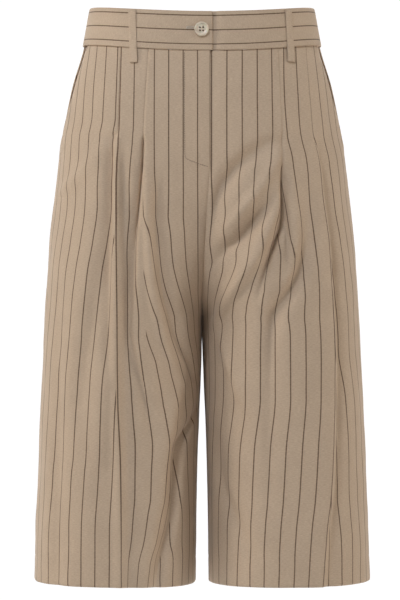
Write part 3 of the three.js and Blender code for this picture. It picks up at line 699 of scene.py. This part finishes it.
def finish_named(name):
    """The material of that name, made the first time it is asked for."""
    if name in bpy.data.materials:
        return bpy.data.materials[name]
    scene = bpy.context.scene
    makers = {
        "striped_suiting": lambda: suiting_material(scene.shorts_cloth),
        "fly_thread": lambda: thread_material(name, scene.shorts_trim.seam_thread),
        "buttonhole_thread": lambda: thread_material(name, scene.shorts_trim.buttonhole_thread),
        "horn_button": lambda: button_material(scene.shorts_trim),
    }
    return makers[name]()


# Settings

colour_value = partial(FloatVectorProperty, subtype="COLOR", size=3, min=0, max=1)
length_value = partial(FloatProperty, unit="LENGTH")


class ShortsClothSettings(bpy.types.PropertyGroup):
    """The suiting and its stripes"""
    cloth_light: colour_value(
        name="Cloth, light thread", description="Colour of the lighter threads", default=(0.52, 0.384, 0.27))
    cloth_dark: colour_value(
        name="Cloth, dark thread", description="Colour of the darker threads", default=(0.47, 0.343, 0.238))
    stripe_colour: colour_value(
        name="Stripe", description="Colour of the pinstripes", default=(0.09, 0.044, 0.018))
    stripe_pitch: length_value(
        name="Stripe spacing", description="Distance between pinstripes", default=0.017, min=0.004)
    stripe_width: length_value(
        name="Stripe width", description="Width of one pinstripe", default=0.00135, min=0.0003)
    sheen: FloatProperty(
        name="Sheen", description="Soft shine of the worsted at a slant", default=0.12, min=0, max=1,
        subtype="FACTOR")
    row_spacing: length_value(
        name="Row spacing", description="Distance between the rows of a panel's mesh", default=0.0027,
        min=0.0015)


class ShortsTrimSettings(bpy.types.PropertyGroup):
    """The button, the belt loops and the thread"""
    button_radius: length_value(
        name="Button radius", description="Radius of the waistband's button", default=0.0085, min=0.005)
    button_light: colour_value(
        name="Button, light", description="Lighter colour of the button", default=(0.7, 0.6, 0.47))
    button_dark: colour_value(
        name="Button, dark", description="Darker colour of the button", default=(0.54, 0.43, 0.31))
    loop_width: length_value(
        name="Belt loop width", description="Width of a belt loop", default=0.0094, min=0.004)
    seam_thread: colour_value(
        name="Fly thread", description="Colour of the stitching of the fly and the button",
        default=(0.19, 0.13, 0.085))
    buttonhole_thread: colour_value(
        name="Buttonhole thread", description="Colour of the buttonhole", default=(0.56, 0.46, 0.36))
    stitch_length: length_value(
        name="Stitch length", description="Length of a stitch of the fly", default=0.0026, min=0.001)


class ShortsStageSettings(bpy.types.PropertyGroup):
    """The studio and the camera"""
    backdrop: colour_value(
        name="Backdrop", description="Colour of the floor and backdrop", default=(0.9, 0.9, 0.9))
    air: FloatProperty(
        name="Ambient light", description="Strength of the even light from all around", default=0.14, min=0)
    glow: FloatProperty(
        name="Backdrop glow", description="How strongly the backdrop behind the shorts shines", default=0.45,
        min=0)
    key_power: FloatProperty(
        name="Key light", description="Power of the soft lights at the sides", default=40, min=0,
        unit="POWER")
    fill_power: FloatProperty(
        name="Fill light", description="Power of the soft lights in front", default=93, min=0,
        unit="POWER")
    camera_distance: length_value(
        name="Camera distance", description="From the camera to the shorts' middle", default=3.5, min=1)
    lens: FloatProperty(
        name="Lens", description="Focal length in millimetres", default=176.9, min=20)


# Panels

def row_drops(bottom, spacing, top=PANEL_TOP):
    """Drops of a piece's rows, which are about that far apart."""
    return np.linspace(top, bottom, int(round((bottom - top) / spacing)) + 1)


def front_ways(cuts):
    """Columns of a front, which follow its pleats from the pocket's mouth to the middle."""
    mouth = pocket_mouth(cuts.drops)
    outer, inner = (cuts.way_at_out(PLEAT_CURVES[cuts.leg][name](cuts.drops)) for name in ("outer", "inner"))
    return ways_through((mouth, outer, inner, cuts.whole), FRONT_COLUMNS)


def turned_hem(points, u, v):
    """Adds the hem's allowance to a panel: round the fold at the bottom and up inside."""
    normals = facings(points)
    layer = 2 * CLOTH_WALL + HEM_GAP
    down = np.array([0, 0, -1.0])
    bends = []
    for angle in np.radians([35, 70, 110, 145]):
        inwards = normals[-1] * (layer / 2) * (1 - math.cos(angle))
        bends.append(points[-1] - inwards + down * (layer / 2) * math.sin(angle))
    lengths = down_columns(points)[:, 0]
    rows = np.nonzero(lengths >= lengths[-1] - HEM_DEPTH)[0][::-1]
    turned = np.vstack([points, np.array(bends), points[rows] - normals[rows] * layer])
    count = len(bends) + len(rows)
    spare = v[-1, 0] + np.arange(1, count + 1)[:, None] * (v[-1, 0] - v[-2, 0])
    u_turned = np.vstack([u, np.repeat(u[-1:], len(bends), axis=0), u[rows]])
    return turned, u_turned, np.vstack([v, np.repeat(spare, u.shape[1], axis=1)])


def seam_relief(cuts, ways, side_dip, inner_dip):
    """Seams pull the cloth in a little along a panel's edges, as does the stitching of its hem."""
    return (-side_dip * bell(ways, 2.2) - inner_dip * bell(cuts.whole[:, None] - ways, 2.2)
            - 0.3 * bell(cuts.drops[:, None] - HEM_LINE, 1.6))


def front_relief(cuts, ways):
    """Small relief of a front: seams, the hem, sewn pleats, the lapped fly edge and puckers."""
    drop = cuts.drops[:, None]
    lift = seam_relief(cuts, ways, 0.5, 0.5 * fade((drop - FLY_END_DROP) / 10))
    sewn = fade((drop - BAND_HEIGHT + 6) / 6) * fade((168 - drop) / 14)
    for column in (OUTER_COLUMN, INNER_COLUMN):
        away = ways - ways[:, column:column + 1]
        lift += sewn * (0.55 * bell(away, 5.0) * (away > 0) - 0.75 * bell(away, 1.3))
    lap = fade((FLY_END_DROP - drop + 4) / 12)
    from_edge = cuts.whole[:, None] - ways
    if cuts.leg == "right":
        lift += lap * 0.8 * bell(from_edge, 26)
        lift -= 0.35 * bell(from_edge - 29, 1.3) * fade((178 - drop) / 6)
    else:
        lift -= lap * 0.9 * bell(from_edge, 9)
    puckered = bell(ways - 15, 13) * bell(drop - 152, 22)
    return lift + puckered * fade((ways - pocket_mouth(drop)) / 5) * np.sin((0.75 * drop + ways) / 2.7)


def evened(values, rows=13):
    """A mean over neighbouring rows."""
    padded = np.pad(values, rows, mode="edge")
    return np.convolve(padded, np.ones(2 * rows + 1) / (2 * rows + 1), mode="valid")


def cloth_over_folds(cuts, ways, along, folded):
    """The cloth's own length from the outer pleat on, where its folds hold slack that the form leaves
    out, and how much of it the inner pleat hides in each row."""
    read = lambda table: smooth(table[cuts.leg])(cuts.drops)
    line = cuts.way_at_out(read(MIDDLE_LINE))
    at_line = lambda grid: np.array([np.interp(w, row, values) for w, row, values in zip(line, ways, grid)])
    from_outer = lambda grid: grid - grid[:, OUTER_COLUMN:OUTER_COLUMN + 1]
    length = from_outer(along)
    before = read(SLACK_BEFORE)[:, None]
    share = np.where(np.arange(ways.shape[1]) <= INNER_COLUMN, before, 1 - before)
    rise = from_outer((share * np.abs(np.diff(folded, axis=1, prepend=folded[:, :1]))).cumsum(axis=1))
    whole = read(CLOTH_TO_LINE)
    opened = fade((cuts.drops - 150) / 60)
    spare = whole - at_line(length)
    hidden = (1 - opened) * spare + opened * np.minimum(np.maximum(spare, 0), read(INNER_TAKEN_UP))
    wanted = whole - hidden
    slack = evened(np.clip((wanted - at_line(length)) / np.maximum(at_line(rise), 1), 0, SLACK_LIMIT))
    cloth = length + slack[:, None] * rise
    return cloth * (wanted / at_line(cloth))[:, None], hidden[:, None]


def front_stripes(cuts, ways, points, folded):
    """u over a front, and just before each pleat, past which its cloth goes on further in."""
    start = STRIPE_START[cuts.leg]
    along = along_rows(points)
    taken_up = smooth(OUTER_TAKEN_UP[cuts.leg])(cuts.drops)[:, None]
    side = start + taken_up + along[:, OUTER_COLUMN:OUTER_COLUMN + 1] - along
    cloth, hidden = cloth_over_folds(cuts, ways, along, folded)
    middle = start - cloth
    column = np.arange(ways.shape[1])[None, :]
    u = np.where(column < OUTER_COLUMN, side, np.where(column < INNER_COLUMN, middle, middle - hidden))
    return u, {OUTER_COLUMN: side[:, OUTER_COLUMN], INNER_COLUMN: middle[:, INNER_COLUMN]}


def make_front(leg, settings):
    cuts = Sections(leg, "front", row_drops(HEM_FOLD, settings.row_spacing * PER_METRE))
    ways = front_ways(cuts)
    points, folded = panel_points(cuts, ways, settled=True, lift=front_relief(cuts, ways))
    pitch = STRIPE_PITCH[leg]
    u, before = front_stripes(cuts, ways, points, folded)
    hemmed = turned_hem(points, u / pitch, down_columns(points) / pitch)
    return suiting_piece(f"front_{leg}", *hemmed, breaks={column: b / pitch for column, b in before.items()})


def make_back(leg, settings):
    cuts = Sections(leg, "back", row_drops(HEM_FOLD, settings.row_spacing * PER_METRE))
    crease = cuts.way_at_out(smooth(BACK_CREASE)(cuts.drops))
    ways = ways_through((0 * crease, crease, cuts.whole), BACK_COLUMNS)
    relief = seam_relief(cuts, ways, 0.5, 0.6)
    pressed = np.exp(-((np.abs(ways - crease[:, None]) / 5) ** 1.4))
    relief += 1.3 * fade((cuts.drops[:, None] - 330) / 90) * pressed
    points, _ = panel_points(cuts, ways, settled=True, lift=relief)
    along = along_rows(points)
    pitch = STRIPE_PITCH["right"]
    u = 0.5 + (along[:, CREASE_COLUMN:CREASE_COLUMN + 1] - along) / pitch
    return suiting_piece(f"back_{leg}", *turned_hem(points, u, down_columns(points) / pitch))


class SHORTS_OT_fronts(bpy.types.Operator):
    """Makes the two fronts with their sewn and opening pleats, folds and turned hems"""
    bl_idname = "shorts.fronts"
    bl_label = "Fronts"

    def execute(self, context):
        for leg in LEG_SIGN:
            front = make_front(leg, context.scene.shorts_cloth)
        return {"FINISHED"}


class SHORTS_OT_backs(bpy.types.Operator):
    """Makes the two backs, which hang from the seat, with their turned hems"""
    bl_idname = "shorts.backs"
    bl_label = "Backs"

    def execute(self, context):
        for leg in LEG_SIGN:
            back = make_back(leg, context.scene.shorts_cloth)
        return {"FINISHED"}


class SHORTS_OT_pockets(bpy.types.Operator):
    """Makes the side pieces in the pocket mouths and the fly's underlap"""
    bl_idname = "shorts.pockets"
    bl_label = "Pocket Sides and Underlap"

    POCKET_BOTTOM = 164
    UNDERLAP_BOTTOM = 182
    UNDERLAP_BEHIND = 1.8

    def execute(self, context):
        for leg in LEG_SIGN:
            side = self.pocket_side(leg)
        underlap = self.underlap()
        return {"FINISHED"}

    def pocket_side(self, leg):
        cuts = Sections(leg, "front", row_drops(self.POCKET_BOTTOM, 3))
        mouth = pocket_mouth(cuts.drops)
        outer = cuts.way_at_out(PLEAT_CURVES[leg]["outer"](cuts.drops))
        tucked = mouth + 0.3 * (outer - mouth)
        ways = ways_through((0 * mouth, mouth, tucked), (18, 8), gather=0)
        lift = seam_relief(cuts, ways, 0.3, 0) - (CLOTH_WALL + 1.5 * SEAM_GAP)
        points, _ = panel_points(cuts, ways, lift=lift)
        pitch = STRIPE_PITCH[leg]
        return suiting_piece(f"pocket_side_{leg}", points, (7 - along_rows(points)) / pitch,
                             down_columns(points) / pitch, outward=Vector((LEG_SIGN[leg], -0.3, 0)))

    def underlap(self):
        grids = []
        for leg, reach in (("left", (9, 2)), ("right", (2, 28))):
            cuts = Sections(leg, "front", row_drops(self.UNDERLAP_BOTTOM, 4))
            start, end = cuts.whole - reach[0], cuts.whole - reach[1]
            points, _ = panel_points(cuts, ways_through((start, end), (7,), gather=0))
            points[..., 1] += self.UNDERLAP_BEHIND
            grids.append(points)
        points = np.hstack(grids)
        pitch = STRIPE_PITCH["left"]
        return suiting_piece("fly_underlap", points, (along_rows(points) + 4) / pitch,
                             down_columns(points) / pitch)


class SHORTS_OT_waistband(bpy.types.Operator):
    """Makes the waistband's two halves, which meet at the middle back and lap in front"""
    bl_idname = "shorts.waistband"
    bl_label = "Waistband"

    def execute(self, context):
        for leg in LEG_SIGN:
            band = self.half_band(leg)
        return {"FINISHED"}

    def half_band(self, leg):
        drops = row_drops(BAND_HEIGHT - SEAM_GAP / 2, 2.2, top=0)
        depth = drops[:, None]
        end = -BAND_LAP_END if leg == "right" else BAND_UNDERLAP_END
        grids = {}
        for half, inner in (("back", None), ("front", end)):
            cuts = Sections(leg, half, drops, inner)
            ways = ways_through((0 * cuts.whole, cuts.whole), (62,), gather=0)
            lift = BAND_PROUD - 0.35 * bell(depth, 2.2) - 0.3 * bell(BAND_HEIGHT - depth, 2.2)
            lift = lift + 0.18 * np.sin(ways / 17) * np.sin(depth / 11)
            if half == "front" and leg == "left":
                stepped = fade((BAND_LAP_END + 12 - cuts.at(ways)[0]) / 10)
                lift -= (BAND_WALL + 2.5 * SEAM_GAP) * stepped
            grids[half], _ = panel_points(cuts, ways, folds=False, lift=lift)
        points = np.hstack([grids["back"][:, :0:-1], grids["front"][:, 1:]])
        u = np.repeat((depth - BAND_STRIPE_START) / BAND_STRIPE_PITCH, points.shape[1], axis=1)
        return suiting_piece(f"waistband_{leg}", points, u, along_rows(points) / STRIPE_PITCH["right"],
                             wall=BAND_WALL, bevel=0.7, outward=Vector((LEG_SIGN[leg], 0, 0)))


# Belt loops: the strap's path in drop and stand-off, turned under at both ends
LOOP_PATH = (
    (6.5, 0.9), (3.2, 1.0), (1.4, 1.3), (0.9, 2.3), (1.6, 3.2), (3.6, 3.5), (8, 3.4), (16, 3.1), (26, 3.0),
    (36, 3.1), (46, 3.3), (55, 3.5), (60, 3.4), (61.7, 3.0), (62.2, 2.1), (61.6, 1.3), (59.6, 1.0), (55, 1.0),
)
LOOPS = {
    "belt_loop_front_right": ("right", "front", 79.5, 78),
    "belt_loop_front_left": ("left", "front", 98, 102),
    "belt_loop_side_right": ("right", "back", 92, 95),
    "belt_loop_side_left": ("left", "back", 92, 95),
    "belt_loop_back": ("left", "back", 1, 1),
}
LOOP_LENGTH = 62.3
LOOP_STRAP = 1.2
LOOP_PITCH = 17
LOOP_ROWS = 70
LOOP_COLUMNS = 9


class SHORTS_OT_belt_loops(bpy.types.Operator):
    """Makes the belt loops, narrow straps turned under at both ends"""
    bl_idname = "shorts.belt_loops"
    bl_label = "Belt Loops"

    def execute(self, context):
        width = context.scene.shorts_trim.loop_width * PER_METRE
        for name, (leg, half, top, bottom) in LOOPS.items():
            loop = self.strap(name, leg, half, top, bottom, width)
        return {"FINISHED"}

    def strap(self, name, leg, half, top, bottom, width):
        path = np.array(LOOP_PATH)
        steps = path_steps(path)
        fine = np.linspace(0, steps[-1], LOOP_ROWS)
        drop, stand = (np.interp(fine, steps, path[:, i]) for i in (0, 1))
        for values in (drop, stand, drop, stand):
            values[1:-1] = (values[:-2] + 2 * values[1:-1] + values[2:]) / 4
        cuts = Sections(leg, half, drop, -width if half == "back" and top < width else None)
        way = cuts.way_at_out(top + (bottom - top) * drop / LOOP_LENGTH)[:, None]
        out, y, down, normal_out, normal_y = cuts.at(way)
        proud = BAND_PROUD * (1 - fade((drop - BAND_HEIGHT + 1) / 4))
        across = np.linspace(-1, 1, LOOP_COLUMNS)[None, :]
        side = across * width / 2
        worn = -0.35 * across ** 4 * np.sign(np.gradient(drop))[:, None]
        off = (stand + LOOP_STRAP / 2 + proud)[:, None] + worn
        x = LEG_SIGN[leg] * (out + normal_out * off + normal_y * side)
        y = y + normal_y * off - normal_out * side
        points = np.stack([x, y, -np.repeat(down, LOOP_COLUMNS, axis=1)], axis=-1)
        u = np.repeat(0.5 + side / LOOP_PITCH, LOOP_ROWS, axis=0)
        v = np.repeat(fine[:, None] / LOOP_PITCH, LOOP_COLUMNS, axis=1)
        return suiting_piece(name, points, u, v, wall=LOOP_STRAP, bevel=0.3, kind="strap",
                             outward=Vector((LEG_SIGN[leg] * 0.3, cuts.facing, 0)))


# Small trimmings

def surface_finder(name):
    """Finds where a line from in front meets the named piece."""
    tree = BVHTree.FromObject(bpy.data.objects[name], bpy.context.evaluated_depsgraph_get())

    def find(x, z):
        place, normal, _, _ = tree.ray_cast(Vector((x * MM, -0.4, z * MM)), Vector((0, 1, 0)))
        if place is None:
            raise RuntimeError(f"no cloth at {x}, {z}")
        return place, normal

    return find


def add_stitch(bm, start, end, normal, radius):
    """One stitch: a short, slightly domed thread from start to end."""
    middle = (start + end) / 2 + normal * radius * 0.6
    length = (end - start).length
    turn = (end - start).normalized().to_track_quat("Z", "Y").to_matrix()
    made = bmesh.ops.create_uvsphere(bm, u_segments=6, v_segments=5, radius=1)
    for vertex in made["verts"]:
        local = Vector((vertex.co.x * radius, vertex.co.y * radius, vertex.co.z * length / 2))
        vertex.co = turn @ local + middle


def sewn_thread(name, bm, finish):
    """The stitches of a bmesh as one piece."""
    bmesh.ops.recalc_face_normals(bm, faces=bm.faces)
    dress(linked(name, mesh_from(name, bm)), finish)


class SHORTS_OT_stitching(bpy.types.Operator):
    """Sews the fly's line of stitches and the buttonhole"""
    bl_idname = "shorts.stitching"
    bl_label = "Stitching"

    # The fly's line of stitches, across and up from the body's middle in millimetres
    FLY_LINE = (
        (-20.3, -58), (-20.4, -100), (-20.2, -140), (-19.8, -176), (-19.3, -180.2), (-17.6, -182.2),
        (-12, -184.4), (-4, -187.4), (3, -189.6), (7.6, -190.9),
    )
    FLY_THREAD = 0.00035
    BUTTONHOLE_THREAD = 0.00026

    def execute(self, context):
        self.fly_line(context.scene.shorts_trim.stitch_length * PER_METRE)
        self.buttonhole()
        return {"FINISHED"}

    def fly_line(self, stitch):
        find = surface_finder("front_right_cloth")
        path = np.array(self.FLY_LINE)
        steps = path_steps(path)
        bm = bmesh.new()
        for begin in np.arange(0, steps[-1] - stitch, stitch):
            (start, normal), (end, _) = (
                find(*(np.interp(begin + part * stitch, steps, path[:, i]) for i in (0, 1)))
                for part in (0.12, 0.88)
            )
            add_stitch(bm, start, end, normal, self.FLY_THREAD)
        sewn_thread("fly_stitching", bm, "fly_thread")

    def buttonhole(self):
        find = surface_finder("waistband_right_cloth")
        bm = bmesh.new()
        left, right, height, step = -17.0, 3.6, -29.6, 0.45
        stitches = [
            ((x, height + low), (x + 0.1, height + high))
            for x in np.arange(left, right, step) for low, high in ((0.25, 1.75), (-1.75, -0.25))
        ]
        stitches += [
            ((left - 1.3, height + z), (left - 0.1, height + z * 0.6)) for z in np.arange(-1.5, 1.6, step)
        ]
        for first, last in stitches:
            start, normal = find(*first)
            add_stitch(bm, start, find(*last)[0], normal, self.BUTTONHOLE_THREAD)
        sewn_thread("buttonhole_stitching", bm, "buttonhole_thread")


class SHORTS_OT_button(bpy.types.Operator):
    """Turns the four-hole button and sews it on"""
    bl_idname = "shorts.button"
    bl_label = "Button"

    # The button's section, as radius and height in millimetres
    PROFILE = (
        (0.0, 0.2), (6.6, 0.2), (7.6, 0.55), (8.3, 1.1), (8.5, 1.6), (8.35, 2.15), (7.9, 2.65), (7.2, 2.85),
        (6.5, 2.7), (6.0, 2.3), (5.5, 1.9), (4.6, 1.72), (2.5, 1.68), (0.0, 1.68),
    )
    PROFILE_RADIUS = 0.0085
    HOLES = ((-1.85, -1.85), (-1.85, 1.85), (1.85, -1.85), (1.85, 1.85))
    HOLE_RADIUS = 1.15
    KNOT = 0.0008

    def execute(self, context):
        low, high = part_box("button")
        centre = (Vector(low) + Vector(high)) / 2
        place, normal = surface_finder("waistband_right_cloth")(centre.x / MM, centre.z / MM)
        turn = normal.to_track_quat("Z", "Y").to_matrix().to_4x4()
        turn.translation = place + normal * 0.0002
        button = self.turned(context.scene.shorts_trim.button_radius / self.PROFILE_RADIUS)
        button.data.transform(turn)
        dress(button, "horn_button", "button")
        self.thread(turn)
        return {"FINISHED"}

    def turned(self, scale):
        bm = spun([(radius * scale * MM, z * MM) for radius, z in self.PROFILE], 64)
        button = linked("button_turned", mesh_from("button_turned", bm))
        drill = self.drill()
        holes = button.modifiers.new("holes", "BOOLEAN")
        holes.object = drill
        holes.operation = "DIFFERENCE"
        holes.solver = "EXACT"
        depsgraph = bpy.context.evaluated_depsgraph_get()
        drilled = bpy.data.meshes.new_from_object(button.evaluated_get(depsgraph))
        button.modifiers.clear()
        button.data = drilled
        bpy.data.objects.remove(drill)
        drilled.polygons.foreach_set("use_smooth", [True] * len(drilled.polygons))
        drilled.set_sharp_from_angle(angle=math.radians(40))
        return button

    def drill(self):
        bm = bmesh.new()
        for x, y in self.HOLES:
            made = bmesh.ops.create_cone(bm, cap_ends=True, segments=20, radius1=self.HOLE_RADIUS * MM,
                                         radius2=self.HOLE_RADIUS * MM, depth=0.01)
            bmesh.ops.translate(bm, verts=made["verts"], vec=(x * MM, y * MM, 0.001))
        return linked("drill", mesh_from("drill", bm))

    def thread(self, turn):
        """A knot of thread that is sunk in each hole."""
        bm = bmesh.new()
        for x, y in self.HOLES:
            low, high = (Vector((x * MM, y * MM, z)) for z in (0, 0.0011))
            add_stitch(bm, low, high, Vector((0, 0, 0)), self.KNOT)
        bmesh.ops.transform(bm, matrix=turn, verts=bm.verts)
        sewn_thread("button_thread", bm, "fly_thread")


class SHORTS_OT_stage(bpy.types.Operator):
    """Sets up the pale floor and backdrop, the soft lights and the camera"""
    bl_idname = "shorts.stage"
    bl_label = "Stage"

    FLOOR = -1.6

    def execute(self, context):
        stage = context.scene.shorts_stage
        self.sweep(stage)
        self.surround()
        self.lights(stage)
        self.camera(stage)
        context.scene.view_settings.view_transform = "Standard"
        context.scene.view_settings.look = "None"
        return {"FINISHED"}

    def sweep(self, stage):
        """The paper that lights the shorts from behind and below: a floor that bends up into a wall."""
        bend = [(1 + math.sin(a), self.FLOOR + 1 - math.cos(a)) for a in np.radians(range(10, 91, 10))]
        bm = bmesh.new()
        _, edges = chain(bm, [(-9, y, z) for y, z in ((-9, self.FLOOR), (1, self.FLOOR), *bend, (2, 7))])
        made = bmesh.ops.extrude_edge_only(bm, edges=edges)
        moved = [item for item in made["geom"] if isinstance(item, bmesh.types.BMVert)]
        bmesh.ops.translate(bm, verts=moved, vec=(18, 0, 0))
        bmesh.ops.recalc_face_normals(bm, faces=bm.faces)
        sweep = linked("studio_sweep", mesh_from("studio_sweep", bm))

        def glow(nodes, place):
            height = nodes.add("ShaderNodeSeparateXYZ", {"Vector": place}).outputs["Z"]
            return nodes.between(height, 0.05, stage.glow, self.FLOOR, self.FLOOR + 0.55)

        sweep.data.materials.append(paper_material("studio_paper", stage.backdrop, glow))
        sweep.visible_camera = False

    def surround(self):
        """A wide floor that bends up into a wall all round, which the camera sees and which lights nothing."""
        profile = [(0, -1.59), (14, -1.59), (15, -1.4), (15.8, -0.8), (16, 0), (16, 15), (0, 24)]
        room = linked("studio_surround", mesh_from("studio_surround", spun(profile, 48)))

        def glow(nodes, place):
            away = nodes.add("ShaderNodeVectorMath", {"Vector": place}, operation="LENGTH").outputs["Value"]
            # Dimmer within 2 m of the middle, rising to full glow at 8.5 m: painted shade on the floor round the
            # shorts
            return nodes.between(away, 0.8, 1.02, 2, 8.5)

        room.data.materials.append(paper_material("studio_surround", (0.05, 0.05, 0.05), glow))
        room.visible_diffuse = room.visible_glossy = room.visible_transmission = room.visible_shadow = False

    def lights(self, stage):
        world = bpy.data.worlds.new("studio_air")
        world.use_nodes = True
        background = world.node_tree.nodes["Background"]
        background.inputs["Color"].default_value = (1, 1, 1, 1)
        background.inputs["Strength"].default_value = stage.air
        bpy.context.scene.world = world
        warm, cool = (1.0, 0.94, 0.84), (0.88, 0.97, 1.08)
        for name, place, size, power, colour in (
            ("left_light", (-3.2, -0.9, 0.7), 0.9, stage.key_power, warm),
            ("right_light", (3.2, -0.8, 0.4), 1.0, 0.85 * stage.key_power, warm),
            ("front_light", (-1.3, -2.8, 3.0), 1.0, stage.fill_power, cool),
            ("low_light", (0.2, -3.3, -0.7), 1.4, 0.02 * stage.fill_power, warm),
        ):
            light = bpy.data.lights.new(name, "AREA")
            light.size, light.energy, light.color = size, power, colour
            lamp = linked(name, light)
            lamp.location = place
            aim = Vector((0, 0, -0.33)) - Vector(place)
            lamp.rotation_euler = aim.to_track_quat("-Z", "Y").to_euler()

    def camera(self, stage):
        data = bpy.data.cameras.new("camera")
        data.lens = stage.lens
        data.sensor_width = 36
        data.clip_end = 50
        camera = linked("camera", data)
        camera.location = (-0.0024, -stage.camera_distance, -0.344)
        camera.rotation_euler = (math.pi / 2, 0, 0)
        bpy.context.scene.camera = camera


class SHORTS_PT_sidebar(bpy.types.Panel):
    """Lists the shorts' pieces and settings"""
    bl_idname = "SHORTS_PT_sidebar"
    bl_label = "Shorts"
    bl_space_type = "VIEW_3D"
    bl_region_type = "UI"
    bl_category = "Shorts"

    def draw(self, context):
        for settings in (context.scene.shorts_cloth, context.scene.shorts_trim, context.scene.shorts_stage):
            column = self.layout.column(align=True)
            for key in settings.__annotations__:
                column.prop(settings, key)
        for operator in OPERATORS:
            self.layout.operator(operator.bl_idname)


SETTINGS = {
    "shorts_cloth": ShortsClothSettings,
    "shorts_trim": ShortsTrimSettings,
    "shorts_stage": ShortsStageSettings,
}
OPERATORS = (
    SHORTS_OT_fronts, SHORTS_OT_backs, SHORTS_OT_pockets, SHORTS_OT_waistband, SHORTS_OT_belt_loops,
    SHORTS_OT_button, SHORTS_OT_stitching, SHORTS_OT_stage,
)


def register():
    for cls in (*SETTINGS.values(), *OPERATORS, SHORTS_PT_sidebar):
        bpy.utils.register_class(cls)
    for name, cls in SETTINGS.items():
        setattr(bpy.types.Scene, name, PointerProperty(type=cls))


def unregister():
    for name in SETTINGS:
        delattr(bpy.types.Scene, name)
    for cls in (SHORTS_PT_sidebar, *reversed(OPERATORS), *reversed(SETTINGS.values())):
        bpy.utils.unregister_class(cls)


def main():
    register()
    bpy.ops.shorts.fronts()
    bpy.ops.shorts.backs()
    bpy.ops.shorts.pockets()
    bpy.ops.shorts.waistband()
    bpy.ops.shorts.belt_loops()
    bpy.ops.shorts.button()
    bpy.ops.shorts.stitching()
    bpy.ops.shorts.stage()


if __name__ == "__main__":
    main()
